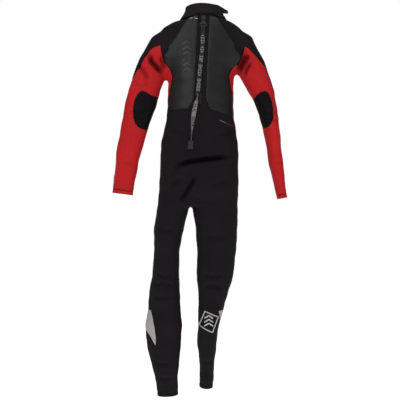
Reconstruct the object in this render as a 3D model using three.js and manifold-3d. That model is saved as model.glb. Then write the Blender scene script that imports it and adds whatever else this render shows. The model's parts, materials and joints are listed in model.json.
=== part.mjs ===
// A full back-zip wetsuit, hanging as it does on a coat hanger, seen from behind along +Y.
// Millimetres, +Z up, the wearer's front towards +Y and the wearer's right towards +X.
// The origin is where the hanger carries the suit: under the collar, at the shoulder line.
import * as THREE from "three";
import { mergeVertices } from "three/addons/utils/BufferGeometryUtils.js";
import Module from "manifold-3d";

const wasm = await Module();
wasm.setup();

// Driving dimensions of the neoprene
const WALL = 3; // sheet thickness
const SEAM = 0.3; // gap left between two panels along a seam
const HEM = 15; // turned and glued edge at wrists and ankles
const SECTION_POWER = 2.3; // 2 is an ellipse, more is squarer
const TORSO_SIDES = 24;
const ARM_SIDES = 14;
const LEG_SIDES = 14;
const RINGS_PER_STATION = 1;
const OPEN_END = 20; // how far the hollow runs out of a cuff
const FAR = 400; // beyond any part of the suit

// Collar
const COLLAR_BASE = 26;
const COLLAR_HEIGHT = 42;
const COLLAR_WIDTH = 136;
const COLLAR_DEPTH = 116;
const COLLAR_TAPER = 2;
const NECK_X = 9;
const NECK_Y = -4;

// Zip
const ZIP_TOP = [10, -65.4, 20]; // top end of the zip, on the outer face
const ZIP_LEAN = 2.5; // degrees, sideways
const ZIP_SLOPE = 4.6; // degrees, the back runs outwards on the way down
const ZIP_LENGTH = 352;
const ZIP_SLOT = 18; // opening between the two zip strips
const STRIP_WIDTH = 42; // both plain strips and the zip between them
const TOOTH_PITCH = 6;
const TOOTH_REACH = 4.2;
const TOOTH_THICK = 4.6;
const CHAIN_DEPTH = WALL + 2.4; // middle of the teeth, below the outer face
const TAPE_WIDTH = 13;
const TAPE_THICK = 0.8;
const SLIDER_LENGTH = 22;
const SLIDER_WIDTH = 14.8;
const SLIDER_PLATE = 2.2;

// Where the limbs bend
const SLEEVE_FREE = -197; // height below which the sleeve hangs free of the shoulder
const ELBOW_HEIGHT = -327;
const ELBOW_HALF = 78; // half the length of the zone that bends
const HIP_TOP = -694; // just below the crotch, so that each leg bends by itself
const HIP_BOTTOM = -800;
const KNEE_TOP = -890;
const KNEE_BOTTOM = -1080;

// Each station of a tube: place of its centre, full width across the view, full depth front to back
const station = (x, y, z, width, depth) => ({ at: new THREE.Vector3(x, y, z), width, depth });
// A torso station is given by its back and front faces
const slice = (z, x, width, back, front) => station(x, (back + front) / 2, z, width, front - back);
const TORSO = [
  slice(-690, -24, 150, -52, 46),
  slice(-672, -18, 226, -74, 68),
  slice(-650, -12, 282, -89, 83),
  slice(-620, -8, 303, -97, 92),
  slice(-540, -6, 304, -100, 96),
  slice(-455, -6, 296, -98, 92),
  slice(-370, -3, 264, -96, 84),
  slice(-300, -1, 250, -91, 84),
  slice(-223, -1, 254, -85, 92),
  slice(-150, 0, 282, -79, 98),
  slice(-85, 0, 314, -74, 92),
  slice(-40, 0, 322, -70, 78),
  slice(-12, 1, 296, -68, 66),
  slice(8, 4, 226, -66, 58),
  slice(COLLAR_BASE, NECK_X, COLLAR_WIDTH, NECK_Y - COLLAR_DEPTH / 2, NECK_Y + COLLAR_DEPTH / 2),
];
const ARM_LEFT = [
  station(-95, 0, -40, 92, 84),
  station(-140, 0, -82, 124, 96),
  station(-182, 0, -158, 126, 92),
  station(-210, 0, -223, 121, 86),
  station(-236, 0, -316, 117, 78),
  station(-259, 0, -408, 105, 70),
  station(-280, 0, -500, 93, 58),
  station(-296, 0, -593, 84, 42),
  station(-303, 0, -647, 81, 36),
];
const ARM_RIGHT = [
  station(98, 0, -40, 92, 84),
  station(148, 0, -84, 126, 100),
  station(196, 0, -168, 116, 108),
  station(223, 0, -228, 98, 116),
  station(242, 0, -272, 84, 120),
  station(258, 0, -325, 72, 120),
  station(269, 0, -385, 63, 116),
  station(279, 0, -454, 58, 102),
  station(292, 0, -547, 50, 88),
  station(308, 0, -639, 40, 75),
  station(313, 0, -663, 38, 72),
];
const LEG_LEFT = [
  station(-84, 0, -600, 136, 168),
  station(-106, 0, -690, 125, 160),
  station(-123, 0, -778, 115, 148),
  station(-131, 0, -870, 101, 124),
  station(-135, 0, -955, 105, 110),
  station(-140, 0, -1055, 124, 98),
  station(-143, 0, -1160, 141, 84),
  station(-142, 0, -1240, 130, 78),
  station(-133, 0, -1332, 96, 66),
  station(-129, 0, -1418, 82, 57),
];
const LEG_RIGHT = [
  station(62, 0, -600, 168, 160),
  station(52, 0, -690, 178, 146),
  station(60, 0, -778, 165, 122),
  station(59, 0, -870, 154, 98),
  station(53, 0, -962, 139, 94),
  station(41, 0, -1055, 106, 108),
  station(29, 0, -1147, 81, 130),
  station(22, 0, -1230, 71, 124),
  station(22, 0, -1320, 58, 102),
  station(20, 0, -1384, 50, 88),
];

// ---- Solids ----

// A three.js geometry as a manifold solid
function solidFrom(geometry) {
  const bare = geometry.clone();
  for (const name of Object.keys(bare.attributes)) {
    if (name !== "position") bare.deleteAttribute(name);
  }
  const merged = mergeVertices(bare, 1e-4);
  const made = (index) =>
    new wasm.Manifold(
      new wasm.Mesh({
        numProp: 3,
        vertProperties: new Float32Array(merged.attributes.position.array),
        triVerts: index,
      }),
    );
  const index = new Uint32Array(merged.index.array);
  const solid = made(index);
  if (solid.volume() > 0) return solid;
  return made(index.reverse());
}

// A manifold solid as a three.js geometry
function geometryFrom(solid) {
  const mesh = solid.getMesh();
  const points = new Float32Array(mesh.numVert * 3);
  for (let i = 0; i < mesh.numVert; i += 1) {
    points.set(mesh.vertProperties.subarray(i * mesh.numProp, i * mesh.numProp + 3), i * 3);
  }
  const geometry = new THREE.BufferGeometry();
  geometry.setAttribute("position", new THREE.BufferAttribute(points, 3));
  geometry.setIndex(new THREE.BufferAttribute(new Uint32Array(mesh.triVerts), 1));
  return geometry;
}

const join = (solids) => solids.reduce((all, one) => all.add(one));

// The closed outline of a tube's section, as [across, deep] pairs
function sectionOutline(width, depth, sides) {
  const round = (value) => Math.sign(value) * Math.abs(value) ** (2 / SECTION_POWER);
  return Array.from({ length: sides }, (_, i) => {
    const angle = (2 * Math.PI * i) / sides;
    return [(width / 2) * round(Math.cos(angle)), (depth / 2) * round(Math.sin(angle))];
  });
}

// The centre line, the size line and the two cross directions of a tube
class Tube {
  constructor(stations, sides, level = false) {
    this.sides = sides;
    this.level = level; // all rings horizontal
    this.steps = (stations.length - 1) * RINGS_PER_STATION;
    this.centre = new THREE.CatmullRomCurve3(stations.map((s) => s.at));
    this.size = new THREE.CatmullRomCurve3(
      stations.map((s) => new THREE.Vector3(s.width, s.depth, 0)),
    );
  }

  // Place, direction and size at t, from 0 at the first station to 1 at the last
  frame(t) {
    const along = this.centre.getTangent(t);
    if (this.level) along.set(0, 0, Math.sign(along.z));
    const deep = new THREE.Vector3(0, 1, 0).addScaledVector(along, -along.y).normalize();
    const across = new THREE.Vector3().crossVectors(along, deep).normalize();
    const size = this.size.getPoint(t);
    return { at: this.centre.getPoint(t), along, deep, across, width: size.x, depth: size.y };
  }

  // The frame at a height, for a tube that runs downwards
  frameAtHeight(z) {
    let [low, high] = [0, 1];
    for (let i = 0; i < 40; i += 1) {
      const middle = (low + high) / 2;
      if (this.centre.getPoint(middle).z > z) low = middle;
      else high = middle;
    }
    return this.frame(low);
  }

  ring(frame, grow, shift) {
    const centre = frame.at.clone().addScaledVector(frame.along, shift);
    return sectionOutline(frame.width + 2 * grow, frame.depth + 2 * grow, this.sides).map(
      ([u, v]) => centre.clone().addScaledVector(frame.across, u).addScaledVector(frame.deep, v),
    );
  }

  // The filled tube, grown or shrunk all round, with its two ends moved outwards
  solid(grow = 0, startPad = 0, endPad = 0) {
    const rings = [];
    for (let i = 0; i <= this.steps; i += 1) {
      let shift = 0;
      if (i === 0) shift = -startPad;
      if (i === this.steps) shift = endPad;
      rings.push(this.ring(this.frame(i / this.steps), grow, shift));
    }
    return solidFrom(skin(rings));
  }
}

// A closed skin over rings of points, with a fan over each end
function skin(rings) {
  const sides = rings[0].length;
  const points = rings.flat();
  const index = [];
  for (let r = 0; r + 1 < rings.length; r += 1) {
    for (let s = 0; s < sides; s += 1) {
      const a = r * sides + s;
      const b = r * sides + ((s + 1) % sides);
      index.push(a, b, b + sides, a, b + sides, a + sides);
    }
  }
  for (const [r, turn] of [[0, true], [rings.length - 1, false]]) {
    const middle = new THREE.Vector3();
    rings[r].forEach((p) => middle.addScaledVector(p, 1 / sides));
    points.push(middle);
    for (let s = 0; s < sides; s += 1) {
      const a = r * sides + s;
      const b = r * sides + ((s + 1) % sides);
      index.push(...(turn ? [b, a, points.length - 1] : [a, b, points.length - 1]));
    }
  }
  return new THREE.BufferGeometry().setFromPoints(points).setIndex(index);
}

// A prism whose outline is drawn in the back view (x, z) and that runs from y0 to y1
function prismAlongY(outline, y0, y1) {
  const shape = new THREE.Shape(outline.map(([x, z]) => new THREE.Vector2(x, z)));
  const prism = new THREE.ExtrudeGeometry(shape, { depth: y1 - y0, bevelEnabled: false });
  return solidFrom(prism.rotateX(Math.PI / 2).translate(0, y1, 0));
}

// A prism whose outline is drawn in the side view (y, z) and that runs from x0 to x1
function prismAlongX(outline, x0, x1) {
  const shape = new THREE.Shape(outline.map(([y, z]) => new THREE.Vector2(y, z)));
  const prism = new THREE.ExtrudeGeometry(shape, { depth: x1 - x0, bevelEnabled: false });
  const turned = new THREE.Matrix4().makeBasis(
    new THREE.Vector3(0, 1, 0),
    new THREE.Vector3(0, 0, 1),
    new THREE.Vector3(1, 0, 0),
  );
  return solidFrom(prism.applyMatrix4(turned).translate(x0, 0, 0));
}

// The outline of a band of constant width along an open line
function bandOutline(line, width) {
  const sides = [1, -1].map((side) =>
    line.map((p, i) => {
      const before = line[Math.max(i - 1, 0)];
      const after = line[Math.min(i + 1, line.length - 1)];
      const run = Math.hypot(after[0] - before[0], after[1] - before[1]);
      const offset = (side * width) / 2 / run;
      return [p[0] - (after[1] - before[1]) * offset, p[1] + (after[0] - before[0]) * offset];
    }),
  );
  return [...sides[0], ...sides[1].reverse()];
}

// A smooth line through a few points
function smooth(points, pieces = 8) {
  const curve = new THREE.SplineCurve(points.map(([a, b]) => new THREE.Vector2(a, b)));
  return curve.getPoints(pieces).map((p) => [p.x, p.y]);
}

// A smooth closed outline through a few points
function smoothLoop(points, pieces = 22) {
  const curve = new THREE.CatmullRomCurve3(
    points.map(([a, b]) => new THREE.Vector3(a, b, 0)),
    true,
  );
  return curve.getPoints(pieces).slice(0, -1).map((p) => [p.x, p.y]);
}

// An outline made larger all round by about `grow`
function grown(outline, grow) {
  const box = new THREE.Box2().setFromPoints(outline.map(([a, b]) => new THREE.Vector2(a, b)));
  const centre = box.getCenter(new THREE.Vector2());
  const size = box.getSize(new THREE.Vector2());
  const share = 1 + (2 * grow) / Math.min(size.x, size.y);
  return outline.map(([a, b]) => [centre.x + (a - centre.x) * share, centre.y + (b - centre.y) * share]);
}

// A thin wall along a line: cutting with it parts two panels by a seam
const seamAlongY = (line, y0 = -FAR, y1 = FAR) => prismAlongY(bandOutline(line, SEAM), y0, y1);
const seamAlongX = (line, x0 = -FAR, x1 = FAR) => prismAlongX(bandOutline(line, SEAM), x0, x1);
const levelSeam = (z) => seamAlongY([[-230, z], [230, z]]);

// A flat seam square across a tube
function crossSeam(frame, shift = 0) {
  const wide = 110;
  const centre = frame.at.clone().addScaledVector(frame.along, shift);
  const ends = [-wide, wide].map((u) => centre.clone().addScaledVector(frame.across, u));
  return seamAlongY(ends.map((p) => [p.x, p.z]));
}

// Cuts a part along seams and names its panels, each by a point near it
function panels(part, seams, seeds) {
  const pieces = part.subtract(join(seams)).decompose();
  const named = {};
  for (const [name, seed] of Object.entries(seeds)) {
    const probe = solidFrom(new THREE.OctahedronGeometry(0.5).translate(...seed));
    const gaps = pieces.map((piece) => piece.minGap(probe, 60));
    const best = gaps.indexOf(Math.min(...gaps));
    if (pieces[best] === undefined) throw new Error(`no panel near ${name}`);
    named[name] = pieces[best];
  }
  return named;
}

// Takes a patch out of a panel, and leaves a seam round it
function inlay(panel, makePrism, outline, low, high) {
  return {
    patch: panel.intersect(makePrism(outline, low, high)),
    rest: panel.subtract(makePrism(grown(outline, SEAM), low - SEAM, high + SEAM)),
  };
}

// ---- The neoprene shell ----

const tubes = {
  torso: new Tube(TORSO, TORSO_SIDES, true),
  armLeft: new Tube(ARM_LEFT, ARM_SIDES),
  armRight: new Tube(ARM_RIGHT, ARM_SIDES),
  legLeft: new Tube(LEG_LEFT, LEG_SIDES),
  legRight: new Tube(LEG_RIGHT, LEG_SIDES),
};

const outside = join(Object.values(tubes).map((tube) => tube.solid()));
const inside = join([
  tubes.torso.solid(-WALL, -WALL, OPEN_END),
  ...["armLeft", "armRight", "legLeft", "legRight"].map((name) => tubes[name].solid(-WALL, 0, OPEN_END)),
]);

// A group in which -Z runs down the zip and -Y points out of the back
const zipGroup = new THREE.Group();
zipGroup.position.set(...ZIP_TOP);
zipGroup.rotation.set(-THREE.MathUtils.degToRad(ZIP_SLOPE), THREE.MathUtils.degToRad(ZIP_LEAN), 0, "YXZ");
zipGroup.updateMatrixWorld(true);

// A block in the zip's own directions
function zipBlock(x0, x1, y0, y1, z0, z1) {
  const block = new THREE.BoxGeometry(x1 - x0, y1 - y0, z1 - z0);
  return block.translate((x0 + x1) / 2, (y0 + y1) / 2, (z0 + z1) / 2);
}

const slot = zipBlock(-ZIP_SLOT / 2, ZIP_SLOT / 2, -30, 30, -ZIP_LENGTH + 10, 30);
const shell = outside
  .subtract(inside)
  .subtract(solidFrom(slot.clone().applyMatrix4(zipGroup.matrixWorld)));

const ARMHOLE_LEFT = smooth([[-150, 40], [-153, -70], [-146, -130], [-136, -172], [-136, -250]]);
const ARMHOLE_RIGHT = smooth([[152, 40], [164, -70], [157, -125], [140, -172], [139, -208]]);
const parts = panels(
  shell,
  [
    seamAlongY(ARMHOLE_LEFT),
    seamAlongY(ARMHOLE_RIGHT),
    levelSeam(HIP_TOP),
  ],
  {
    torso: [0, 90, -400],
    armLeft: [-236, -38, -316],
    armRight: [258, -58, -325],
    legLeft: [-131, -60, -870],
    legRight: [59, -48, -870],
  },
);

// Torso
const stripEdge = (side) => {
  const toWorld = ([x, z]) => new THREE.Vector3(x, 0, z).applyMatrix4(zipGroup.matrixWorld);
  const half = (side * STRIP_WIDTH) / 2;
  const line = [[half, 30], [half, -300], [half * 1.15, -325], [half * 1.6, -345], [half * 2.4, -370]];
  return line.map(toWorld).map((p) => [p.x, p.z]);
};
const YOKE_LEFT = smooth([[-36, 40], [-72, -20], [-112, -80], [-150, -140]]);
const YOKE_RIGHT = smooth([[50, 40], [84, -20], [122, -80], [156, -140]]);
const BACK_HEM = smooth(
  [[-170, -336], [-100, -334], [-45, -334], [0, -336], [40, -336], [90, -350], [170, -380]],
  14,
);
const CHEST_HEM = smooth([[-170, -330], [-80, -352], [0, -360], [80, -352], [170, -330]], 10);
const SIDE_LEAF = smooth([[-28, -110], [-40, -160], [-50, -205], [-38, -250], [-16, -310], [0, -352]], 10);
const mirrored = (line) => line.map(([a, b]) => [-a, b]);
const sideSeam = [[0, -350], [0, HIP_TOP - 10]];

const torso = panels(
  parts.torso,
  [
    seamAlongY(stripEdge(-1), -FAR, 0),
    seamAlongY(stripEdge(1), -FAR, 0),
    seamAlongY(YOKE_LEFT),
    seamAlongY(YOKE_RIGHT),
    seamAlongY(BACK_HEM, -FAR, 0),
    seamAlongY(CHEST_HEM, 0, FAR),
    ...[[-FAR, -60], [60, FAR]].flatMap(([x0, x1]) => [
      seamAlongX(SIDE_LEAF, x0, x1),
      seamAlongX(mirrored(SIDE_LEAF), x0, x1),
    ]),
    seamAlongX(sideSeam),
  ],
  {
    back_panel_left: [-70, -80, -200],
    back_panel_right: [70, -80, -200],
    zip_surround: [-18, -78, -150],
    shoulder_panel_left: [-110, -50, -20],
    shoulder_panel_right: [118, -50, -20],
    chest_panel: [0, 96, -150],
    side_panel_left: [-124, 0, -250],
    side_panel_right: [124, 0, -250],
    lower_back_panel: [0, -98, -500],
    abdomen_panel: [0, 92, -500],
  },
);

// Arms: a black cap and a red gusset where the shoulder bends, then the hanging sleeve
const CAP_LEFT = smooth(
  [[-120, -70], [-150, -84], [-188, -98], [-216, -138], [-244, -178], [-285, -232]],
  12,
);
const CAP_RIGHT = smooth(
  [[120, -74], [172, -92], [192, -110], [244, -168], [262, -220], [281, -300]],
  12,
);
const ELBOW_PATCH_LEFT = smoothLoop([
  [-224, -258], [-190, -274], [-140, -292], [-140, -370],
  [-203, -402], [-244, -386], [-256, -325], [-244, -278],
]);
const ELBOW_PATCH_RIGHT = smoothLoop([
  [240, -262], [205, -282], [190, -320], [205, -376],
  [246, -396], [266, -376], [269, -325], [259, -282],
]);
const PATCH_REACH = 8; // how far a patch wraps past the side of its limb, towards the front

function armPanels(part, tube, capLine, patchOutline, side) {
  const elbow = tube.frameAtHeight(ELBOW_HEIGHT);
  const wrist = tube.frame(1);
  const down = (z) => tube.frameAtHeight(z);
  const surface = (frame, u, v) => {
    const p = frame.at.clone().addScaledVector(frame.across, (u * frame.width) / 2);
    return p.addScaledVector(frame.deep, (v * frame.depth) / 2).toArray();
  };
  const free = down(SLEEVE_FREE);
  const pieces = panels(
    part,
    [
      crossSeam(free),
      crossSeam(elbow, -ELBOW_HALF),
      crossSeam(elbow, ELBOW_HALF),
      crossSeam(wrist, -HEM),
      seamAlongY(capLine),
    ],
    {
      cap: surface(down(-60), side * 1, 0),
      gusset: surface(down(-140), 0, -1),
      outer: surface(free, side, 0).map((value, i) => value + [0, 0, -12][i]),
      upper: surface(down(-225), -side * 0.4, -1),
      elbow: surface(elbow, side, 0),
      forearm: surface(down(-500), 0, -1),
      hem: surface(tube.frame(0.995), 0, -1),
    },
  );
  const { patch, rest } = inlay(pieces.elbow, prismAlongY, patchOutline, -FAR, PATCH_REACH);
  return { ...pieces, elbow: rest, patch };
}

const armLeft = armPanels(parts.armLeft, tubes.armLeft, CAP_LEFT, ELBOW_PATCH_LEFT, -1);
const armRight = armPanels(parts.armRight, tubes.armRight, CAP_RIGHT, ELBOW_PATCH_RIGHT, 1);

// Legs
const KNEE_MIDDLE = (KNEE_TOP + KNEE_BOTTOM) / 2;
const ellipse = (x, z, halfWidth, halfHeight) =>
  new THREE.EllipseCurve(x, z, halfWidth, halfHeight).getPoints(22).slice(0, -1).map((p) => [p.x, p.y]);

function legPanels(part, tube, padHalfWidth, insertPrism, insertOutline, insertRange) {
  const knee = tube.frameAtHeight(KNEE_MIDDLE);
  const near = (z, v) => {
    const f = tube.frameAtHeight(z);
    return [f.at.x, f.at.y + (v * f.depth) / 2, z];
  };
  const pieces = panels(
    part,
    [
      levelSeam(HIP_BOTTOM),
      levelSeam(KNEE_TOP),
      levelSeam(KNEE_BOTTOM),
      crossSeam(tube.frame(1), -HEM),
    ],
    {
      hip: near((HIP_TOP + HIP_BOTTOM) / 2, -1),
      thigh: near((HIP_BOTTOM + KNEE_TOP) / 2, -1),
      knee: near(KNEE_MIDDLE, -1),
      calf: near(-1200, -1),
      hem: near(tube.frame(0.995).at.z, -1),
    },
  );
  const pad = ellipse(knee.at.x, KNEE_MIDDLE, padHalfWidth, 86);
  const kneeInlay = inlay(pieces.knee, prismAlongY, pad, 3, FAR);
  const calfInlay = inlay(pieces.calf, insertPrism, insertOutline, ...insertRange);
  return {
    ...pieces,
    knee: kneeInlay.rest,
    pad: kneeInlay.patch,
    calf: calfInlay.rest,
    insert: calfInlay.patch,
  };
}

const INSERT_TOP = KNEE_BOTTOM - 6;
const INSERT_LEFT = [
  [-192, INSERT_TOP], [-182, -1112], [-175, -1146], [-170, -1190], [-171, -1230], [-198, -1180],
  [-212, -1166], [-240, -1160], [-240, INSERT_TOP],
];
const INSERT_RIGHT = [
  [-50, INSERT_TOP], [-36, -1120], [-18, -1160], [8, -1230], [22, -1190], [30, -1160], [30, INSERT_TOP],
];
const legLeft = legPanels(parts.legLeft, tubes.legLeft, 40, prismAlongY, INSERT_LEFT, [-FAR, PATCH_REACH]);
const legRight = legPanels(parts.legRight, tubes.legRight, 50, prismAlongX, INSERT_RIGHT, [30, FAR]);

// The badge bonded to the right calf: a plain slanted field
const BADGE_THICK = 1;
const BADGE_OUTLINE = [[-2, -1108], [60, -1088], [54, -1146], [2, -1168]];
const badge = tubes.legRight
  .solid(SEAM + BADGE_THICK)
  .subtract(tubes.legRight.solid(SEAM, 5, 5))
  .intersect(prismAlongY(BADGE_OUTLINE, -FAR, 0));

// ---- Collar ----

const COLLAR_SIDES = 28;
const collarRing = (height, taper) =>
  station(NECK_X, NECK_Y, COLLAR_BASE + height, COLLAR_WIDTH - taper, COLLAR_DEPTH - taper);
const collarTube = new Tube(
  [
    collarRing(SEAM, 0),
    collarRing(COLLAR_HEIGHT / 2, COLLAR_TAPER / 2),
    collarRing(COLLAR_HEIGHT, COLLAR_TAPER),
  ],
  COLLAR_SIDES,
  true,
);
const COLLAR_SLIT = 3;
const FLAP_ROOT_X = -22;
const FLAP_MARGIN = 4; // the flap is lower than the collar by this at top and bottom
const PATCH_THICK = 1;
const FLAP_STANDOFF = 2 * PATCH_THICK + 5 * SEAM; // room for the two hook and loop patches

const collarBand = collarTube
  .solid()
  .subtract(collarTube.solid(-WALL, 5, 5))
  .subtract(
    prismAlongY(bandOutline([[ZIP_TOP[0], COLLAR_BASE - 5], [ZIP_TOP[0], 90]], COLLAR_SLIT), -FAR, 0),
  );

// A ring layer outside the collar, cut to a stretch between two x values on the back half
function collarLayer(inner, outer, x0, x1, z0, z1, yFront) {
  return collarTube
    .solid(outer, -1, -1)
    .subtract(collarTube.solid(inner, 5, 5))
    .intersect(prismAlongY([[x0, z0], [x1, z0], [x1, z1], [x0, z1]], -FAR, yFront));
}
const FLAP_LOW = COLLAR_BASE + FLAP_MARGIN;
const FLAP_HIGH = COLLAR_BASE + COLLAR_HEIGHT - FLAP_MARGIN;
const loopPatch = collarLayer(SEAM, SEAM + PATCH_THICK, 24, 58, FLAP_LOW + 3, FLAP_HIGH - 3, -20);

// The flap is drawn in plan and pulled straight up; its free end leaves the collar and narrows to a tab
const COLLAR_EDGE = NECK_X + COLLAR_WIDTH / 2; // the right side of the collar
const FLAP_TIP = [COLLAR_EDGE + 25, -26];
const plan = (grow, x) => {
  const a = (COLLAR_WIDTH - COLLAR_TAPER / 2) / 2 + grow;
  const b = (COLLAR_DEPTH - COLLAR_TAPER / 2) / 2 + grow;
  const share = Math.min(1, Math.abs((x - NECK_X) / a)) ** SECTION_POWER;
  return NECK_Y - b * (1 - share) ** (1 / SECTION_POWER);
};
const flapLine = smooth(
  [
    ...[FLAP_ROOT_X, -6, 9, 24, 38, COLLAR_EDGE - 29, COLLAR_EDGE - 20].map((x) => [x, plan(FLAP_STANDOFF, x)]),
    [COLLAR_EDGE + 2, -37],
    FLAP_TIP,
  ],
  18,
);
function uprightPrism(outline, z0, z1) {
  const shape = new THREE.Shape(outline.map(([x, y]) => new THREE.Vector2(x, y)));
  return new THREE.ExtrudeGeometry(shape, { depth: z1 - z0, bevelEnabled: false }).translate(0, 0, z0);
}
// One side of a band along a line: the line moved to its right by a distance
const moved = (line, distance) => bandOutline(line, 2 * distance).slice(line.length).reverse();
const layerAlong = (line, near, far) => [...moved(line, near), ...moved(line, far).reverse()];
const FLAP_SHAPE = [
  [FLAP_ROOT_X - 5, FLAP_LOW],
  [COLLAR_EDGE - 15, FLAP_LOW], [COLLAR_EDGE + 11, 37], [COLLAR_EDGE + 33, 38], [COLLAR_EDGE + 33, 46],
  [COLLAR_EDGE + 9, 56], [COLLAR_EDGE - 11, FLAP_HIGH],
  [FLAP_ROOT_X - 5, FLAP_HIGH],
];
const HOOK_SHAPE = [
  [28, FLAP_LOW + 4], [56, FLAP_LOW + 4], [88, 42], [90, 56], [78, 62], [28, FLAP_HIGH - 3],
];
// The root pad fills the stand-off where the flap is sewn to the collar
const ROOT_PAD = 10;
const rootPad = uprightPrism(
  [
    [FLAP_ROOT_X, plan(2 * SEAM, FLAP_ROOT_X)],
    [FLAP_ROOT_X + ROOT_PAD, plan(2 * SEAM, FLAP_ROOT_X + ROOT_PAD)],
    [FLAP_ROOT_X + ROOT_PAD, plan(FLAP_STANDOFF + 1, FLAP_ROOT_X + ROOT_PAD)],
    [FLAP_ROOT_X, plan(FLAP_STANDOFF + 1, FLAP_ROOT_X)],
  ],
  FLAP_LOW,
  FLAP_HIGH,
);
// A sheet that follows the flap's line, between two distances outside it, cut to a shape in the back view
function flapSheet(near, far, shape) {
  const sheet = uprightPrism(layerAlong(flapLine, near, far), FLAP_LOW, FLAP_HIGH);
  return solidFrom(sheet).intersect(prismAlongY(shape, -FAR, FAR));
}
const collarFlap = flapSheet(0.001, WALL, FLAP_SHAPE).add(solidFrom(rootPad));
const hookPatch = flapSheet(-SEAM - PATCH_THICK, -SEAM, HOOK_SHAPE);

// ---- Zip, built in the zip's own directions ----

const TEETH_TOP = -13;
const TEETH_BOTTOM = -ZIP_LENGTH + 20;
const chainLow = CHAIN_DEPTH - TOOTH_THICK / 2;
const chainHigh = CHAIN_DEPTH + TOOTH_THICK / 2;
const BEAD_INNER = 2.2; // the teeth stand on a bead from here to their roots
const TOOTH_TIP = -0.9; // past the middle, between two teeth of the other row
const TOOTH_HIGH = 1.5;

// One row: a bead along the tape's edge with a tooth at each pitch, set half a pitch off the other row
function toothRow(side) {
  const comb = [[TOOTH_REACH, TEETH_BOTTOM], [TOOTH_REACH, TEETH_TOP], [BEAD_INNER, TEETH_TOP]];
  const first = TEETH_TOP - (side > 0 ? 1 : 1 + TOOTH_PITCH / 2);
  for (let z = first; z - TOOTH_HIGH > TEETH_BOTTOM + 1; z -= TOOTH_PITCH) {
    comb.push([BEAD_INNER, z], [TOOTH_TIP, z], [TOOTH_TIP, z - TOOTH_HIGH], [BEAD_INNER, z - TOOTH_HIGH]);
  }
  comb.push([BEAD_INNER, TEETH_BOTTOM]);
  return prismAlongY(comb.map(([x, z]) => [side * x, z]), chainLow, chainHigh);
}

const tape = (side) => {
  const x0 = TOOTH_REACH + SEAM;
  const [a, b] = side > 0 ? [x0, x0 + TAPE_WIDTH] : [-x0 - TAPE_WIDTH, -x0];
  return zipBlock(a, b, CHAIN_DEPTH - TAPE_THICK / 2, CHAIN_DEPTH + TAPE_THICK / 2, -ZIP_LENGTH + 2, -8);
};

// The slider: two plates, a post between them at the top, and side flanges that leave room for the tape
const plateOuter = [chainLow - 0.8 - SLIDER_PLATE, chainLow - 0.8];
const plateInner = [chainHigh + 0.7, chainHigh + 0.7 + SLIDER_PLATE];
const TAPE_ROOM = 0.9;
const FLANGE = 1.6;
function sliderBody() {
  const half = SLIDER_WIDTH / 2;
  const rightEdge = [[half - 2.4, 0], [half, -4], [half, -15], [half - 1.6, -SLIDER_LENGTH]];
  const outline = [...rightEdge, ...rightEdge.map(([x, z]) => [-x, z]).reverse()];
  const plates = [plateOuter, plateInner].map(([y0, y1]) => prismAlongY(outline, y0, y1));
  const flanges = [-1, 1].flatMap((side) =>
    [[plateOuter[0], CHAIN_DEPTH - TAPE_ROOM], [CHAIN_DEPTH + TAPE_ROOM, plateInner[1]]].map(([y0, y1]) => {
      const x0 = side > 0 ? half - FLANGE : -half;
      return solidFrom(zipBlock(x0, x0 + FLANGE, y0, y1, -15, -4));
    }),
  );
  const post = solidFrom(zipBlock(-1.7, 1.7, plateOuter[0] + 0.5, plateInner[1] - 0.5, -10, -1.5));
  return join([...plates, ...flanges, post]);
}

// The bridge over the slider, that carries the pull tab
const BRIDGE = { width: 3, low: -18, high: -3, rise: 7.6, bar: 1.6 };
const bridgeFoot = plateOuter[0] - SEAM;
function bridge() {
  const { width, low, high, rise, bar } = BRIDGE;
  const top = bridgeFoot - rise;
  const bow = zipBlock(-width / 2, width / 2, top, bridgeFoot, low, high);
  const window = zipBlock(-width, width, top + bar, bridgeFoot + 1, low + bar, high - bar);
  return solidFrom(bow).subtract(solidFrom(window));
}

// The pull tab hangs from a round bar inside the bridge, and widens to a slot for the webbing
const TAB_PIVOT = { y: bridgeFoot - 4.4, z: -8 };
const TAB = { thick: 1.8, topHalf: 5, bottomHalf: 12.6, length: 34, bar: 2, slotHalf: 9.4, slotHigh: 5.2 };
const tabBottom = TAB_PIVOT.z - TAB.length;
function pullTab() {
  const y0 = TAB_PIVOT.y - TAB.thick / 2;
  const y1 = TAB_PIVOT.y + TAB.thick / 2;
  const outline = [
    [-TAB.topHalf, TAB_PIVOT.z + 1.4], [TAB.topHalf, TAB_PIVOT.z + 1.4], [TAB.topHalf, TAB_PIVOT.z - 13],
    [TAB.bottomHalf, tabBottom + 9], [TAB.bottomHalf, tabBottom], [-TAB.bottomHalf, tabBottom],
    [-TAB.bottomHalf, tabBottom + 9], [-TAB.topHalf, TAB_PIVOT.z - 13],
  ];
  const plate = prismAlongY(outline, y0, y1);
  const opening = (half, z0, z1) => solidFrom(zipBlock(-half, half, y0 - 1, y1 + 1, z0, z1));
  const bridgeOpening = opening(BRIDGE.width / 2 + 0.9, TAB_PIVOT.z - 12, TAB_PIVOT.z + 5);
  const webbingSlot = opening(TAB.slotHalf, tabBottom + TAB.bar, tabBottom + TAB.bar + TAB.slotHigh);
  const rod = new THREE.CylinderGeometry(0.9, 0.9, 2 * TAB.topHalf - 1, 12).rotateZ(Math.PI / 2);
  return plate
    .subtract(bridgeOpening)
    .subtract(webbingSlot)
    .add(solidFrom(rod.translate(0, TAB_PIVOT.y, TAB_PIVOT.z)));
}

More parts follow.
